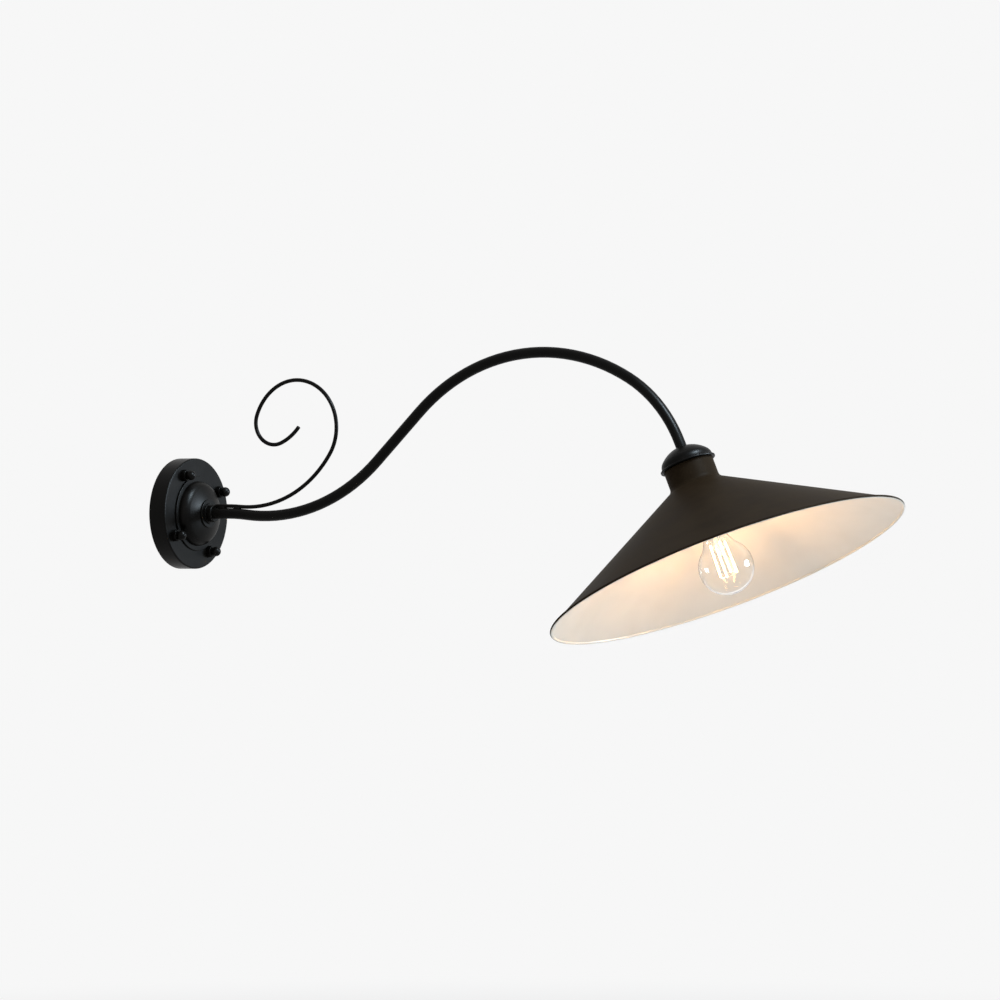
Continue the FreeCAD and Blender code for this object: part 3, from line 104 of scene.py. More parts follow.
class Mixture:
    """The node tree of one finish, stirred together a node at a time."""

    def __init__(self, name: str, tree: bpy.types.NodeTree | None = None) -> None:
        """Starts an empty material of that name, or empties the given tree.

        Args:
            name: the material's name.
            tree: a node tree to fill in place of a new material's.
        """
        self.material = None
        if tree is None:
            self.material = bpy.data.materials.new(name)
            self.material.use_nodes = True
            tree = self.material.node_tree
        self.tree = tree
        self.tree.nodes.clear()

    def node(self, kind: str, settings: dict | None = None, sockets: dict | None = None,
             out: int | str = 0) -> Link:
        """Adds one node.

        Args:
            kind: the node's type.
            settings: its settings; "stops" fills a colour ramp with (place, colour) pairs.
            sockets: values or links for its inputs, by name or number.
            out: which output is returned.

        Returns:
            The chosen output.
        """
        made = self.tree.nodes.new(kind)
        for name, value in (settings or {}).items():
            if name == "stops":
                self.fill_ramp(made.color_ramp, value)
            else:
                setattr(made, name, value)
        for name, value in (sockets or {}).items():
            self.feed(made.inputs[name], value)
        return Link(self, made.outputs[out])

    def feed(self, socket: bpy.types.NodeSocket, value: "Link | float | tuple") -> None:
        """Links a socket, or sets its value.

        Args:
            socket: the input to feed.
            value: a link, a number, a colour of three numbers or a vector.
        """
        if isinstance(value, Link):
            self.tree.links.new(value.socket, socket)
        elif socket.type == "RGBA":
            socket.default_value = (*value[:3], 1.0)
        else:
            socket.default_value = value

    def fill_ramp(self, ramp: bpy.types.ColorRamp,
                  stops: tuple[tuple[float, Colour], ...]) -> None:
        """Gives a ramp its stops.

        Args:
            ramp: the ramp, with Blender's two first stops.
            stops: places from 0 to 1, each with its colour.
        """
        for number, (place, colour) in enumerate(stops):
            stop = ramp.elements[number] if number < 2 else ramp.elements.new(place)
            stop.position = place
            stop.color = (*colour, 1.0)

    def place(self) -> Link:
        """Object coordinates in metres."""
        return self.node("ShaderNodeTexCoord", out="Object")

    def place_along(self, turn: Point, stretch: Point) -> Link:
        """Object coordinates that are turned and then stretched, for marks with a direction.

        Args:
            turn: turn about each axis in radians.
            stretch: factor along each axis.

        Returns:
            The coordinates.
        """
        return self.node("ShaderNodeMapping", {"vector_type": "POINT"},
                         {"Vector": self.place(), "Rotation": turn, "Scale": stretch})

    def noise(self, grain_mm: float, detail: float = 2.0, where: Link | None = None) -> Link:
        """Cloudy noise from about 0.2 to 0.8.

        Args:
            grain_mm: the size of its lumps.
            detail: how many finer layers it has.
            where: its coordinates; Object coordinates if left out.

        Returns:
            The noise.
        """
        return self.node("ShaderNodeTexNoise", None,
                         {"Vector": where or self.place(), "Scale": 1.0 / (grain_mm * MM),
                          "Detail": detail, "Roughness": 0.55})

    def ramp(self, factor: Link, *stops: tuple[float, Colour]) -> Link:
        """Colours a value by stops from 0 to 1."""
        return self.node("ShaderNodeValToRGB", {"stops": stops}, {"Fac": factor})

    def step(self, value: Link, low: float, high: float) -> Link:
        """Smooth mask that is 0 below low and 1 above high."""
        return self.node("ShaderNodeMapRange", {"interpolation_type": "SMOOTHSTEP"},
                         {"Value": value, "From Min": low, "From Max": high})

    def blend(self, factor: Link | float, first: Link | Colour, second: Link | Colour) -> Link:
        """Mix of two colours.

        Args:
            factor: 0 for the first, 1 for the second.
            first: a colour or link.
            second: a colour or link.

        Returns:
            The mixed colour.
        """
        made = self.tree.nodes.new("ShaderNodeMix")
        made.data_type = "RGBA"
        self.feed(made.inputs[0], factor)
        self.feed(made.inputs[6], first)
        self.feed(made.inputs[7], second)
        return Link(self, made.outputs[2])

    def bump(self, height: Link, depth_mm: float, strength: float = 1.0,
             under: Link | None = None) -> Link:
        """Surface relief.

        Args:
            height: the relief, 0 to 1.
            depth_mm: how deep it is.
            strength: how much of it shows.
            under: a coarser relief that it lies on.

        Returns:
            The normal.
        """
        sockets = {"Height": height, "Distance": depth_mm * MM, "Strength": strength}
        if under is not None:
            sockets["Normal"] = under
        return self.node("ShaderNodeBump", None, sockets)

    def surface(self, **sockets: "Link | float | tuple") -> Link:
        """A Principled surface; an underscore in a socket's name stands for a space."""
        named = {name.replace("_", " "): value for name, value in sockets.items()}
        return self.node("ShaderNodeBsdfPrincipled", None, named)

    def finish(self, shader: Link,
               kind: str = "ShaderNodeOutputMaterial") -> bpy.types.Material | None:
        """Joins the shader to the output.

        Args:
            shader: the finished surface.
            kind: the output node's type.

        Returns:
            The material, or None for a world.
        """
        output = self.tree.nodes.new(kind)
        self.feed(output.inputs["Surface"], shader)
        return self.material


def seen_rays(mixture: Mixture) -> Link:
    """Mask of the rays that look at the background: camera, glossy and transmission."""
    camera = mixture.node("ShaderNodeLightPath", out="Is Camera Ray")
    glossy = mixture.node("ShaderNodeLightPath", out="Is Glossy Ray")
    through = mixture.node("ShaderNodeLightPath", out="Is Transmission Ray")
    return camera | glossy | through


# ---- finishes ----
@dataclass(frozen=True)
class PowderCoat:
    """Matt charcoal powder coat: fine pebbled skin, faintly cloudy in colour and gloss."""

    name: str = "charcoal_coat"
    deep: Colour = (0.0024, 0.0021, 0.0018)
    light: Colour = (0.0046, 0.0041, 0.0035)
    gloss: float = 0.055
    roughness: float = 0.36
    cloud_mm: float = 38.0
    cloud_share: float = 0.8
    cloud_haze: float = 0.14
    pebble_mm: float = 0.9
    pebble_haze: float = 0.10
    pebble_depth_mm: float = 0.02
    speck_mm: float = 0.28
    speck_depth_mm: float = 0.006

    def material(self) -> bpy.types.Material:
        """Builds the paint."""
        mix = Mixture(self.name)
        cloud = mix.noise(self.cloud_mm, 3.0)
        pebble = mix.noise(self.pebble_mm, 2.0)
        speck = mix.noise(self.speck_mm, 1.0)
        shade = cloud * self.cloud_share + pebble * (1.0 - self.cloud_share)
        colour = mix.ramp(shade, (0.36, self.deep), (0.66, self.light))
        rough = (self.roughness + (cloud - 0.5) * self.cloud_haze
                 + (pebble - 0.5) * self.pebble_haze)
        skin = mix.bump(pebble, self.pebble_depth_mm, 0.7)
        relief = mix.bump(speck, self.speck_depth_mm, 0.5, skin)
        return mix.finish(mix.surface(Base_Color=colour, Roughness=rough, Normal=relief,
                                      Specular_IOR_Level=self.gloss))


@dataclass(frozen=True)
class ShadeEnamel:
    """White satin enamel on the shade's inside, faintly uneven from the spinning; its warm tint is
    painted warm light from the lit bulb.
    """

    name: str = "white_enamel"
    # Both whites carry a warm tint that is painted warm light from the lit bulb; the enamel itself
    # is white.
    white: Colour = (0.70, 0.66, 0.59)
    shadow_white: Colour = (0.66, 0.62, 0.55)
    roughness: float = 0.38
    cloud_mm: float = 55.0
    peel_mm: float = 2.6
    peel_haze: float = 0.1
    peel_depth_mm: float = 0.05

    def material(self) -> bpy.types.Material:
        """Builds the enamel."""
        mix = Mixture(self.name)
        cloud = mix.noise(self.cloud_mm, 2.0)
        peel = mix.noise(self.peel_mm, 2.0)
        colour = mix.ramp(cloud, (0.35, self.shadow_white), (0.65, self.white))
        return mix.finish(mix.surface(Base_Color=colour,
                                      Roughness=self.roughness + peel * self.peel_haze,
                                      Normal=mix.bump(peel, self.peel_depth_mm, 0.6)))


@dataclass(frozen=True)
class BareMetal:
    """Plated or bare metal with fine scratches and cloudy tarnish."""

    name: str
    bright: Colour
    dull: Colour
    roughness: float = 0.3
    cloud_mm: float = 7.0
    scratch_mm: float = 0.5
    cloud_haze: float = 0.16
    scratch_haze: float = 0.2
    scratch_depth_mm: float = 0.01
    scratch_turn: Point = (0.4, 0.7, 0.2)
    scratch_stretch: Point = (1.0, 0.08, 1.0)

    def material(self) -> bpy.types.Material:
        """Builds the metal."""
        mix = Mixture(self.name)
        cloud = mix.noise(self.cloud_mm, 4.0)
        scratch = mix.noise(self.scratch_mm, 3.0,
                            mix.place_along(self.scratch_turn, self.scratch_stretch))
        colour = mix.ramp(cloud, (0.38, self.dull), (0.62, self.bright))
        rough = (self.roughness + cloud * self.cloud_haze
                 + (scratch - 0.5) * self.scratch_haze)
        return mix.finish(mix.surface(Base_Color=colour, Metallic=1.0, Roughness=rough,
                                      Normal=mix.bump(scratch, self.scratch_depth_mm, 0.5)))


@dataclass(frozen=True)
class ThreadedSteel:
    """Zinc-plated steel whose screw thread shows as relief along one axis, with painted shade in
    the roots and painted highlight on the crests.
    """

    name: str
    axis: Point
    pitch_mm: float
    bright: Colour = (0.62, 0.63, 0.64)
    dull: Colour = (0.40, 0.40, 0.41)
    roughness: float = 0.28
    cloud_mm: float = 4.0
    cloud_haze: float = 0.15
    ridge_shade_share: float = 0.7
    depth_share: float = 0.45

    def material(self) -> bpy.types.Material:
        """Builds the threaded metal."""
        mix = Mixture(self.name)
        flank = self.pitch_mm * MM / 2.0
        along = mix.node("ShaderNodeVectorMath", {"operation": "DOT_PRODUCT"},
                         {0: mix.place(), 1: self.axis}, out="Value")
        ridge = mix.node("ShaderNodeMath", {"operation": "PINGPONG"},
                         {0: along, 1: flank}) / flank
        cloud = mix.noise(self.cloud_mm, 3.0)
        # The colour follows the thread's ridge: painted shade in the roots and painted highlight on
        # the crests.
        shade = ridge * self.ridge_shade_share + cloud * (1.0 - self.ridge_shade_share)
        colour = mix.ramp(shade, (0.2, self.dull), (0.7, self.bright))
        return mix.finish(mix.surface(Base_Color=colour, Metallic=1.0,
                                      Roughness=self.roughness + cloud * self.cloud_haze,
                                      Normal=mix.bump(ridge, self.pitch_mm * self.depth_share)))


@dataclass(frozen=True)
class Glaze:
    """Glazed porcelain or smooth moulded nylon, with a faint mottle."""

    name: str
    light: Colour
    dark: Colour
    roughness: float
    coat: float = 0.0
    mottle_mm: float = 6.0
    mottle_depth_mm: float = 0.03
    fine_mm: float = 0.6
    fine_haze: float = 0.08

    def material(self) -> bpy.types.Material:
        """Builds the glaze."""
        mix = Mixture(self.name)
        mottle = mix.noise(self.mottle_mm, 3.0)
        fine = mix.noise(self.fine_mm, 1.0)
        colour = mix.ramp(mottle, (0.36, self.dark), (0.64, self.light))
        return mix.finish(mix.surface(Base_Color=colour,
                                      Roughness=self.roughness + fine * self.fine_haze,
                                      Coat_Weight=self.coat, Coat_Roughness=0.12,
                                      Normal=mix.bump(mottle, self.mottle_depth_mm, 0.4)))


@dataclass(frozen=True)
class WireSheath:
    """PVC sheath, plain or with a second colour wound round it in stripes."""

    name: str
    colour: Colour
    stripe: Colour
    stripe_mm: float = 5.0
    haze_mm: float = 3.0
    haze_depth_mm: float = 0.02

    def material(self) -> bpy.types.Material:
        """Builds the sheath."""
        mix = Mixture(self.name)
        bands = mix.node("ShaderNodeTexWave", {"wave_type": "BANDS", "bands_direction": "DIAGONAL"},
                         {"Vector": mix.place(), "Scale": 1.0 / (self.stripe_mm * MM) / 2.0,
                          "Distortion": 0.0}, out="Fac")
        haze = mix.noise(self.haze_mm, 2.0)
        colour = mix.blend(mix.step(bands, 0.62, 0.68), self.colour, self.stripe)
        return mix.finish(mix.surface(Base_Color=colour, Roughness=0.34 + haze * 0.16,
                                      Normal=mix.bump(haze, self.haze_depth_mm, 0.5)))


@dataclass(frozen=True)
class Glass:
    """Clear blown glass. Shadow and diffuse rays pass straight through, so the bulb lights."""

    name: str
    tint: Colour
    roughness: float = 0.0
    wave_mm: float = 16.0
    wave_depth_mm: float = 0.12

    def material(self) -> bpy.types.Material:
        """Builds the glass."""
        mix = Mixture(self.name)
        wave = mix.noise(self.wave_mm, 1.0)
        shell = mix.surface(Base_Color=self.tint, Transmission_Weight=1.0, IOR=1.46,
                            Roughness=self.roughness,
                            Normal=mix.bump(wave, self.wave_depth_mm, 0.25))
        clear = mix.node("ShaderNodeBsdfTransparent", None, {"Color": self.tint})
        shadow = mix.node("ShaderNodeLightPath", out="Is Shadow Ray")
        diffuse = mix.node("ShaderNodeLightPath", out="Is Diffuse Ray")
        return mix.finish(mix.node("ShaderNodeMixShader", None,
                                   {0: shadow | diffuse, 1: shell, 2: clear}))


@dataclass(frozen=True)
class GlowingFilament:
    """Lit filament, a little dimmer in spots along its phosphor coat."""

    name: str = "lit_filament"
    coat: Colour = (0.92, 0.72, 0.35)
    hot: Colour = (1.0, 0.58, 0.26)
    mild: Colour = (1.0, 0.50, 0.20)
    strength: float = 270.0
    bead_mm: float = 2.2

    def material(self) -> bpy.types.Material:
        """Builds the glow."""
        mix = Mixture(self.name)
        beads = mix.noise(self.bead_mm, 1.0)
        glow = mix.ramp(beads, (0.3, self.mild), (0.6, self.hot))
        return mix.finish(mix.surface(Base_Color=self.coat, Roughness=0.5, Emission_Color=glow,
                                      Emission_Strength=self.strength))


@dataclass(frozen=True)
class BoardLacquer:
    """Green circuit board with pale copper lines."""

    name: str = "board_lacquer"
    green: Colour = (0.02, 0.13, 0.05)
    copper: Colour = (0.16, 0.32, 0.12)
    line_scale: float = 260.0
    line_depth_mm: float = 0.05

    def material(self) -> bpy.types.Material:
        """Builds the board."""
        mix = Mixture(self.name)
        lines = mix.node("ShaderNodeTexWave", {"wave_type": "BANDS", "bands_direction": "X"},
                         {"Vector": mix.place(), "Scale": self.line_scale, "Distortion": 3.0},
                         out="Fac")
        colour = mix.blend(mix.step(lines, 0.7, 0.8), self.green, self.copper)
        return mix.finish(mix.surface(Base_Color=colour, Roughness=0.3,
                                      Normal=mix.bump(lines, self.line_depth_mm, 0.5)))


class Finish(Enum):
    """Every finish on the lamp; the same one is built only once."""

    COAT = PowderCoat()
    # Same charcoal paint as the arm, in a warmer, browner copy: its brown warmth is painted warm
    # light on the cone.
    SHADE_COAT = PowderCoat("shade_coat_painted_warm", deep=(0.020, 0.0130, 0.0074),
                            light=(0.031, 0.0215, 0.0125), gloss=0.012, roughness=0.50)
    ENAMEL = ShadeEnamel()
    ZINC = BareMetal("zinc_plate", (0.62, 0.63, 0.64), (0.46, 0.47, 0.49))
    WALL_THREAD = ThreadedSteel("zinc_thread_along", (1.0, 0.0, 0.0), 0.8)
    HEAD_THREAD = ThreadedSteel("zinc_thread_up", (-0.3939, 0.0, 0.9191), 1.0)
    BRASS = BareMetal("plain_brass", (0.80, 0.58, 0.27), (0.62, 0.42, 0.18), 0.26)
    NYLON = Glaze("white_nylon", (0.80, 0.79, 0.74), (0.76, 0.75, 0.69), 0.42)
    PORCELAIN = Glaze("lamp_porcelain", (0.84, 0.83, 0.79), (0.80, 0.785, 0.74), 0.14, 0.6, 14.0)
    BROWN = WireSheath("brown_sheath", (0.16, 0.07, 0.03), (0.18, 0.08, 0.035))
    BLUE = WireSheath("blue_sheath", (0.03, 0.09, 0.34), (0.035, 0.10, 0.37))
    EARTH = WireSheath("earth_sheath", (0.10, 0.36, 0.05), (0.85, 0.68, 0.05))
    CLEAR_GLASS = Glass("clear_globe", (0.975, 0.985, 0.985))
    STEM_GLASS = Glass("stem_glass", (0.94, 0.96, 0.965), 0.04)
    FILAMENT = GlowingFilament()
    CAP_METAL = BareMetal("cap_aluminium", (0.78, 0.77, 0.74), (0.62, 0.61, 0.59), 0.24, 5.0, 0.3)
    BLACK_GLASS = Glaze("black_glass", (0.03, 0.03, 0.035), (0.02, 0.02, 0.024), 0.06, 0.5)
    SOLDER = BareMetal("dull_solder", (0.68, 0.68, 0.70), (0.48, 0.48, 0.50), 0.34, 1.5, 0.9)
    BOARD = BoardLacquer()

    def material(self) -> bpy.types.Material:
        """The finish as a material, built at its first use."""
        return bpy.data.materials.get(self.value.name) or self.value.material()


# ---- modelling ----
class Bench:
    """A modelling bench: Blender's own operators, on one piece at a time."""

    @staticmethod
    def take(piece: bpy.types.Object) -> None:
        """Selects only this piece and makes it the active one."""
        bpy.ops.object.select_all(action="DESELECT")
        piece.select_set(True)
        bpy.context.view_layer.objects.active = piece

    @staticmethod
    def drawn(name: str, outline: list[tuple[float, float]]) -> bpy.types.Object:
        """Draws an outline by extruding one point along it, and stays in edit mode.

        Args:
            name: the piece's name.
            outline: (radius, height) points in millimetres.

        Returns:
            The piece, so far only a line.
        """
        bpy.ops.object.select_all(action="DESELECT")
        radius, height = outline[0]
        bpy.ops.mesh.primitive_plane_add(size=MM, location=(radius * MM, 0.0, height * MM))
        piece = bpy.context.active_object
        piece.name = piece.data.name = name
        bpy.ops.object.transform_apply(location=True, rotation=True, scale=True)
        bpy.ops.object.mode_set(mode="EDIT")
        bpy.ops.mesh.select_all(action="SELECT")
        bpy.ops.mesh.merge(type="CENTER")
        for next_radius, next_height in outline[1:]:
            step = ((next_radius - radius) * MM, 0.0, (next_height - height) * MM)
            bpy.ops.mesh.extrude_region_move(TRANSFORM_OT_translate={"value": step})
            radius, height = next_radius, next_height
        return piece

    @staticmethod
    def turned(name: str, outline: list[tuple[float, float]], steps: int) -> bpy.types.Object:
        """Draws a closed outline and spins it about Z.

        Args:
            name: the piece's name.
            outline: (radius, height) points in millimetres, the first one not repeated.
            steps: how many steps the full turn has.

        Returns:
            The turned piece, its axis on Z.
        """
        piece = Bench.drawn(name, outline + outline[:1])
        bpy.ops.mesh.select_all(action="SELECT")
        bpy.ops.mesh.remove_doubles(threshold=1e-6)
        bpy.ops.mesh.select_all(action="SELECT")
        bpy.ops.mesh.spin(steps=steps, angle=2.0 * math.pi, center=(0, 0, 0), axis=(0, 0, 1))
        bpy.ops.mesh.select_all(action="SELECT")
        bpy.ops.mesh.remove_doubles(threshold=2e-6)
        bpy.ops.mesh.select_all(action="SELECT")
        bpy.ops.mesh.normals_make_consistent(inside=False)
        bpy.ops.object.mode_set(mode="OBJECT")
        return piece

    @staticmethod
    def set_down(piece: bpy.types.Object, place: Matrix, edge_angle: float = 35.0) -> None:
        """Moves a piece's mesh to its place and smooths its faces up to an angle.

        Args:
            piece: a piece modelled about the origin.
            place: where its origin and Z axis go.
            edge_angle: the angle in degrees from which an edge stays sharp.
        """
        Bench.take(piece)
        piece.matrix_world = place
        bpy.ops.object.transform_apply(location=True, rotation=True, scale=True)
        bpy.ops.object.shade_smooth_by_angle(angle=math.radians(edge_angle))

    @staticmethod
    def join(pieces: list[bpy.types.Object]) -> bpy.types.Object:
        """Joins pieces into the first one."""
        Bench.take(pieces[0])
        for piece in pieces[1:]:
            piece.select_set(True)
        bpy.ops.object.join()
        return pieces[0]


@dataclass(frozen=True)
class Corner:
    """One corner of a turned outline, in millimetres."""

    radius: float
    height: float
    rounding: float = 0.0


def rounded(corners: list[Corner], arc_steps: int = 6) -> list[tuple[float, float]]:
    """Rounds the corners of a closed outline.

    Args:
        corners: the corners in order.
        arc_steps: how many steps each rounding has.

    Returns:
        The outline's (radius, height) points.
    """
    points: list[tuple[float, float]] = []
    for number, corner in enumerate(corners):
        here = Vector((corner.radius, corner.height))
        if not corner.rounding:
            points.append(tuple(here))
            continue
        before = corners[number - 1]
        after = corners[(number + 1) % len(corners)]
        back = (Vector((before.radius, before.height)) - here).normalized()
        ahead = (Vector((after.radius, after.height)) - here).normalized()
        half = back.angle(ahead) / 2.0
        centre = here + (back + ahead).normalized() * corner.rounding / math.sin(half)
        start = here + back * corner.rounding / math.tan(half) - centre
        end = here + ahead * corner.rounding / math.tan(half) - centre
        sweep = start.angle_signed(end)
        for step in range(arc_steps + 1):
            angle = -sweep * step / arc_steps
            turned = Vector((start.x * math.cos(angle) - start.y * math.sin(angle),
                             start.x * math.sin(angle) + start.y * math.cos(angle)))
            points.append(tuple(centre + turned))
    return points


def dress(piece: bpy.types.Object, finish: Finish) -> None:
    """Gives a piece or a node one finish."""
    piece.data.materials.clear()
    piece.data.materials.append(finish.material())


def report(piece: bpy.types.Object, body: str, slot: str, *nodes: str) -> None:
    """Puts a new piece on its body, in place of its nodes, and logs it.

    Args:
        piece: the finished piece.
        body: the body that it rides on.
        slot: the record's material slot; not used.
        nodes: the CAD nodes that it stands for.
    """
    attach(piece, body)
    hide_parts(*nodes)
    LOG.info("%s: %d faces, for %s", piece.name, len(piece.data.polygons), ", ".join(nodes))


@dataclass
class HeadFrame:
    """Where the head's own axis stands: heights count from the shade's rim plane."""

    origin: Vector
    axis: Vector

    @classmethod
    def read(cls) -> "HeadFrame":
        """Reads the axis from the bulb's joint and the rim plane from the shade's node."""
        axis = -Vector(frame["joints"][0]["axis"]).normalized()
        low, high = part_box("head_nipple")
        middle = (low + high) / 2.0
        rim = min(vertex.co.dot(axis) for vertex in frame["nodes"]["shade"].data.vertices)
        return cls(middle - axis * (middle.dot(axis) - rim), axis)

    def place(self, height_mm: float = 0.0) -> Matrix:
        """Placement of a piece turned about Z, its origin at that height on the axis."""
        turn = Vector((0.0, 0.0, 1.0)).rotation_difference(self.axis)
        return Matrix.Translation(self.origin + self.axis * height_mm * MM) @ (
            turn.to_matrix().to_4x4())


# ---- the lamp ----
@dataclass
class SpunShade:
    """Cone, neck and beaded rim in one spun piece: coat outside, enamel inside."""

    head: HeadFrame
    rim_radius: float = 200.98
    slope: float = 30.0
    wall: float = 0.9
    bead_radius: float = 1.6
    neck_radius: float = 27.5
    neck_round: float = 8.0
    neck_length: float = 23.6
    top_round: float = 2.0
    hole_radius: float = 5.25
    bead_reach: float = 1.1
    enamel_outward: float = 0.7
    enamel_slant: float = 0.45
    steps: int = 288

    @property
    def bead_centre(self) -> float:
        """Radius of the bead's centre line."""
        return self.rim_radius - self.bead_radius

    @property
    def half_rise(self) -> float:
        """Half the wall, measured along the axis."""
        return self.wall / 2.0 / math.cos(math.radians(self.slope))

    def wall_height(self, radius: float) -> float:
        """Height of the cone wall's middle at a radius."""
        return self.bead_radius + (self.bead_centre - radius) * math.tan(
            math.radians(self.slope))

    def bead(self, steps: int = 22) -> list[tuple[float, float]]:
        """Points round the rolled bead, from the outer skin to the inner one."""
        spread = math.degrees(math.asin(self.wall / 2.0 / self.bead_radius))
        first = 180.0 - self.slope - spread
        last = 180.0 - self.slope + spread - 360.0
        points = []
        for step in range(steps + 1):
            angle = math.radians(first + (last - first) * step / steps)
            points.append((self.bead_centre + self.bead_radius * math.cos(angle),
                           self.bead_radius + self.bead_radius * math.sin(angle)))
        return points

    def outline(self) -> list[tuple[float, float]]:
        """Closed outline, from the hole down the outside and back up the inside."""
        inner = self.neck_radius - self.wall
        turn = self.wall_height(self.neck_radius) + self.half_rise
        top = turn + self.neck_length
        upper = rounded([Corner(self.hole_radius, top - self.wall), Corner(self.hole_radius, top),
                         Corner(self.neck_radius, top, self.top_round),
                         Corner(self.neck_radius, turn, self.neck_round),
                         Corner(self.bead_centre, self.wall_height(self.bead_centre)
                                + self.half_rise)])[:-1]
        lower = rounded([Corner(self.bead_centre, self.wall_height(self.bead_centre)
                                - self.half_rise),
                         Corner(inner, self.wall_height(inner) - self.half_rise,
                                self.neck_round + self.wall),
                         Corner(inner, top - self.wall, self.top_round - self.wall),
                         Corner(self.hole_radius, top - self.wall)])[1:-1]
        cone = [150.0, 100.0, 60.0]
        outside = [(r, self.wall_height(r) + self.half_rise) for r in reversed(cone)]
        inside = [(r, self.wall_height(r) - self.half_rise) for r in cone]
        return upper + outside + self.bead() + inside + lower

    def is_inside(self, radius: float, height: float) -> bool:
        """Whether a face at that place lies on the enamelled side."""
        if height > self.wall_height(self.neck_radius) + self.neck_length - self.wall / 2.0:
            return False
        if radius < self.neck_radius - self.wall / 2.0 and height > self.wall_height(
                self.neck_radius):
            return True
        along, below = radius - self.bead_centre, self.bead_radius - height
        if math.hypot(along, below) < self.bead_reach * self.bead_radius:
            return (along < self.enamel_outward * self.bead_radius
                    and below > self.enamel_slant * along)
        return height < self.wall_height(radius)

    def build(self) -> bpy.types.Object:
        """Turns the shade, enamels its inside and sets it down in place of its node."""
        piece = Bench.turned("spun_shade", self.outline(), self.steps)
        # The outside takes the coat copy whose warm brown is painted warm light.
        dress(piece, Finish.SHADE_COAT)
        piece.data.materials.append(Finish.ENAMEL.material())
        for face in piece.data.polygons:
            centre = face.center / MM
            if self.is_inside(math.hypot(centre.x, centre.y), centre.z):
                face.material_index = 1
        Bench.set_down(piece, self.head.place())
        report(piece, "fixture", "shade_paint", "shade")
        return piece


@dataclass
class ScrewCap:
    """The bulb's cap: plain skirt and a rolled screw thread that climbs round it."""

    head: HeadFrame
    radius: float = 13.1
    sheet: float = 0.4
    skirt: float = 7.0
    pitch: float = 3.6
    turns: int = 5
    depth: float = 0.8
    crest: float = 0.8
    sunk: float = 0.05
    wave_steps: int = 12
    steps: int = 96

    def thread(self) -> bpy.types.Object:
        """One pitch of the thread's wave, screwed up round the axis."""
        foot = self.radius - self.depth - self.sunk
        wave = []
        for step in range(self.wave_steps + 1):
            share = step / self.wave_steps
            swell = 0.5 - 0.5 * math.cos(2.0 * math.pi * share)
            wave.append((foot + (self.radius - foot) * swell ** self.crest,
                         self.skirt + share * self.pitch))
        piece = Bench.drawn("screw_thread", wave)
        bpy.ops.object.mode_set(mode="OBJECT")
        screw = piece.modifiers.new("thread", "SCREW")
        screw.axis = "Z"
        screw.screw_offset = self.pitch * MM
        screw.iterations = self.turns - 1
        screw.steps = screw.render_steps = self.steps
        screw.use_merge_vertices = True
        screw.merge_threshold = 1e-6
        Bench.take(piece)
        bpy.ops.object.modifier_apply(modifier="thread")
        bpy.ops.object.mode_set(mode="EDIT")
        bpy.ops.mesh.select_all(action="SELECT")
        bpy.ops.mesh.normals_make_consistent(inside=False)
        bpy.ops.object.mode_set(mode="OBJECT")
        return piece

    def build(self) -> bpy.types.Object:
        """Joins skirt and thread and sets them down in place of the cap's node."""
        low = min(vertex.co.dot(self.head.axis)
                  for vertex in frame["nodes"]["bulb_cap"].data.vertices)
        base = (low - self.head.origin.dot(self.head.axis)) / MM
        root = self.radius - self.depth
        end = self.skirt + self.pitch * self.turns
        shell = Bench.turned("bulb_screw_cap", rounded([
            Corner(self.radius - self.sheet, 0.0), Corner(self.radius, 0.0, 0.15),
            Corner(self.radius, self.skirt, 0.5), Corner(root, self.skirt + self.depth, 0.4),
            Corner(root, end, 0.5), Corner(root - self.sheet, end),
            Corner(root - self.sheet, self.skirt),
            Corner(self.radius - self.sheet, self.skirt - 0.4)]), self.steps)
        piece = Bench.join([shell, self.thread()])
        dress(piece, Finish.CAP_METAL)
        Bench.set_down(piece, self.head.place(base), 50.0)
        report(piece, "bulb", "cap_metal", "bulb_cap")
        return piece


NODE_FINISHES: dict[Finish, tuple[str, ...]] = {
    Finish.COAT: ("canopy", "ball_nuts", "dome_boss", "collar_washer", "arm_collar",
                  "gooseneck_tube", "scroll", "scroll_welds", "cap_dome"),
    Finish.ZINC: ("wall_bracket", "bracket_nuts", "wall_lock_washer", "wall_lock_nut",
                  "terminal_screws", "block_screws", "earth_screw", "earth_tag",
                  "head_lock_washer", "head_lock_nut", "holder_screws"),
    Finish.WALL_THREAD: ("bracket_studs", "wall_nipple"),
    Finish.HEAD_THREAD: ("head_nipple",),
    Finish.BRASS: ("terminal_clamps", "screw_shell", "centre_contact", "shell_terminal"),
    Finish.NYLON: ("cable_bush", "terminal_block"),
    Finish.PORCELAIN: ("holder_cap", "holder_body"),
    Finish.BROWN: ("live_wire",),
    Finish.BLUE: ("neutral_wire",),
    Finish.EARTH: ("earth_wire",),
    Finish.CLEAR_GLASS: ("bulb_glass",),
    Finish.STEM_GLASS: ("bulb_stem",),
    Finish.FILAMENT: ("bulb_filaments",),
    Finish.BLACK_GLASS: ("bulb_insulator",),
    Finish.SOLDER: ("filament_leads", "bulb_contact"),
    Finish.BOARD: ("bulb_driver",),
}


class CarriedNodes:
    """The CAD nodes whose shape is right: each keeps its mesh and gets its finish."""

    def dress(self) -> None:
        """Gives every carried node its finish."""
        for finish, names in NODE_FINISHES.items():
            for name in names:
                dress(frame["nodes"][name], finish)
                LOG.info("%s: %s", name, finish.value.name)


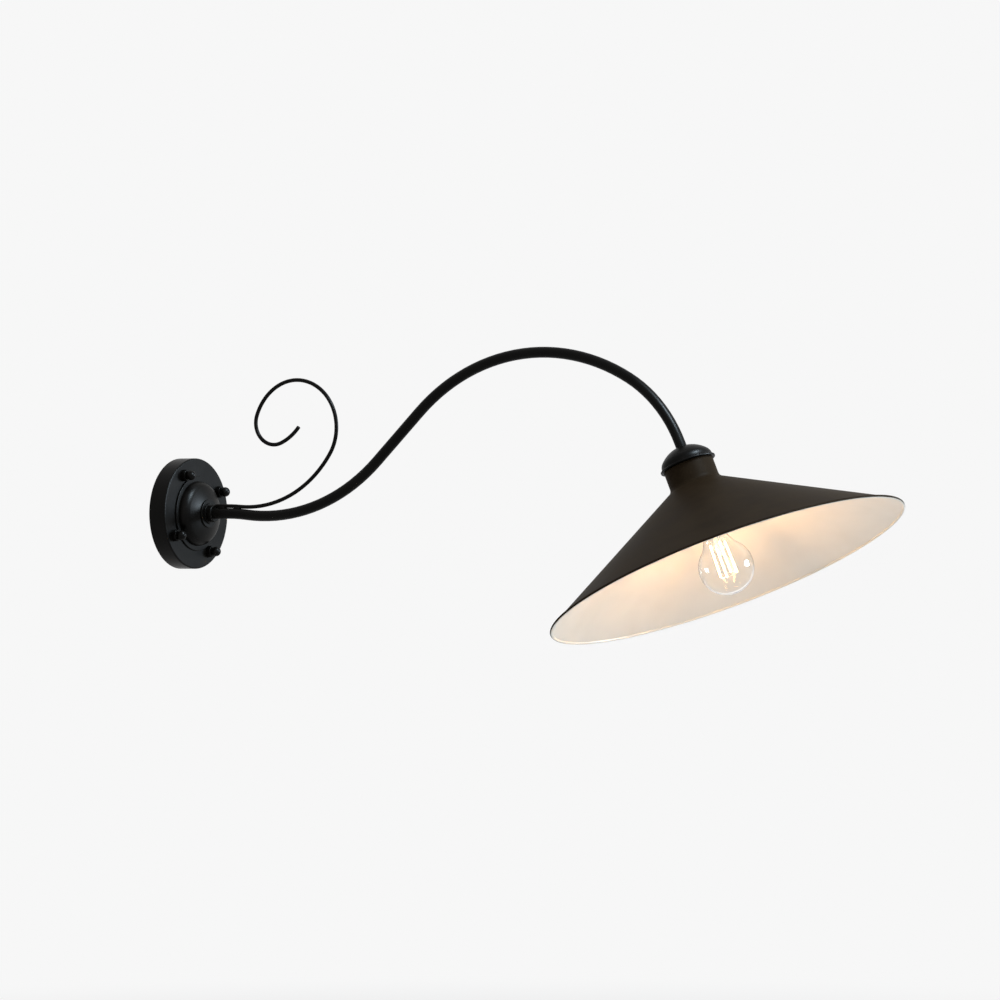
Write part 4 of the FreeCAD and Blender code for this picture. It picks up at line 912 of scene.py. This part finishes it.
# ---- studio ----
@dataclass(frozen=True)
class Softbox:
    """A square studio light that faces the lamp; one for sheen shows only in gloss."""

    name: str
    bearing: Point
    distance: float
    size: float
    power: float
    colour: Colour
    only_sheen: bool = False

    def hang(self, target: Vector) -> None:
        """Hangs the light on its bearing from the target, facing it.

        Args:
            target: the point that it lights.
        """
        bearing = Vector(self.bearing).normalized()
        bpy.ops.object.light_add(type="AREA", location=target + bearing * self.distance)
        light = bpy.context.active_object
        light.name = light.data.name = self.name
        light.rotation_euler = bearing.to_track_quat("Z", "Y").to_euler()
        light.data.shape = "SQUARE"
        light.data.size = self.size
        light.data.energy = self.power
        light.data.color = self.colour
        light.visible_diffuse = not self.only_sheen


@dataclass
class Studio:
    """Camera at the photograph's angle, pale floor and background, soft light."""

    azimuth: float = 31.745
    elevation: float = -0.519
    target: Point = (0.4245, 0.0, 0.01342)
    distance: float = 6.0
    focal_px: float = 5494.8
    frame_px: float = 1000.0
    sensor: float = 36.0
    pale: Colour = (0.9301, 0.9301, 0.9301)
    room_light: float = 0.26
    floor_height: float = -0.62
    floor_radius: float = 40.0
    shadow_reach: tuple[float, float] = (0.35, 1.5)
    shadow_share: float = 0.45

    softboxes: tuple[Softbox, ...] = (
        Softbox("key_light", (0.60, 0.02, 0.80), 2.4, 0.6, 36.0, (0.82, 0.92, 1.0)),
        Softbox("side_light", (0.88, 0.46, 0.16), 2.6, 0.6, 30.0, (0.80, 0.91, 1.0)),
        Softbox("sheen_light", (0.62, -0.10, 0.78), 2.4, 0.5, 170.0, (0.72, 0.88, 1.0), True),
        Softbox("side_sheen", (0.80, 0.58, 0.14), 2.6, 0.6, 120.0, (0.74, 0.88, 1.0), True),
        Softbox("front_light", (0.30, -0.90, 0.32), 3.2, 1.6, 7.0, (1.0, 0.96, 0.90)),
    )

    def camera(self) -> None:
        """Sets up the camera, looking at the target from its angle."""
        turn, lift = math.radians(self.azimuth), math.radians(self.elevation)
        toward = Vector((math.sin(turn) * math.cos(lift), -math.cos(turn) * math.cos(lift),
                         math.sin(lift)))
        bpy.ops.object.camera_add(location=Vector(self.target) + toward * self.distance)
        camera = bpy.context.active_object
        camera.name = camera.data.name = "photo_camera"
        camera.rotation_euler = toward.to_track_quat("Z", "Y").to_euler()
        camera.data.sensor_fit = "HORIZONTAL"
        camera.data.sensor_width = self.sensor
        camera.data.lens = self.focal_px * self.sensor / self.frame_px
        camera.data.clip_end = 200.0
        bpy.context.scene.camera = camera

    def room(self) -> None:
        """Plain world light, with the pale background for the rays that look at it."""
        world = bpy.data.worlds.new("studio")
        bpy.context.scene.world = world
        world.use_nodes = True
        mix = Mixture("studio", world.node_tree)
        light = mix.node("ShaderNodeBackground", None,
                         {"Color": (1.0, 1.0, 1.0), "Strength": self.room_light})
        pale = mix.node("ShaderNodeBackground", None, {"Color": self.pale, "Strength": 1.0})
        both = mix.node("ShaderNodeMixShader", None, {0: seen_rays(mix), 1: light, 2: pale})
        mix.finish(both, "ShaderNodeOutputWorld")

    def floor(self) -> None:
        """Pale floor that keeps the shadow near the lamp and melts into the background."""
        bpy.ops.object.select_all(action="DESELECT")
        bpy.ops.mesh.primitive_circle_add(vertices=96, radius=self.floor_radius,
                                          fill_type="NGON",
                                          location=(0.42, 0.0, self.floor_height))
        floor = bpy.context.active_object
        floor.name = "studio_floor"
        mix = Mixture("pale_floor")
        where = mix.node("ShaderNodeTexCoord", out="Object")
        reach = mix.node("ShaderNodeVectorMath", {"operation": "LENGTH"}, {0: where},
                         out="Value")
        matt = mix.node("ShaderNodeBsdfDiffuse", None, {"Color": self.pale})
        glow = mix.node("ShaderNodeEmission", None, {"Color": self.pale, "Strength": 1.0})
        melt = mix.step(reach, *self.shadow_reach)
        share = seen_rays(mix) * (melt * self.shadow_share + (1.0 - self.shadow_share))
        mix.finish(mix.node("ShaderNodeMixShader", None, {0: share, 1: matt, 2: glow}))
        floor.data.materials.append(mix.material)

    def build(self) -> None:
        """Sets up camera, room, floor and lights."""
        bpy.context.scene.view_settings.view_transform = "Standard"
        self.camera()
        self.room()
        self.floor()
        for softbox in self.softboxes:
            softbox.hang(Vector(self.target))
        LOG.info("studio: camera at %.3f degrees, %d lights", self.azimuth, len(self.softboxes))


def main() -> None:
    """Builds the studio and the lamp, from the camera to the bulb."""
    logging.basicConfig(level=logging.INFO, format="%(name)s: %(message)s")
    Studio().build()
    head = HeadFrame.read()
    CarriedNodes().dress()
    SpunShade(head).build()
    ScrewCap(head).build()


if __name__ == "__main__":
    main()
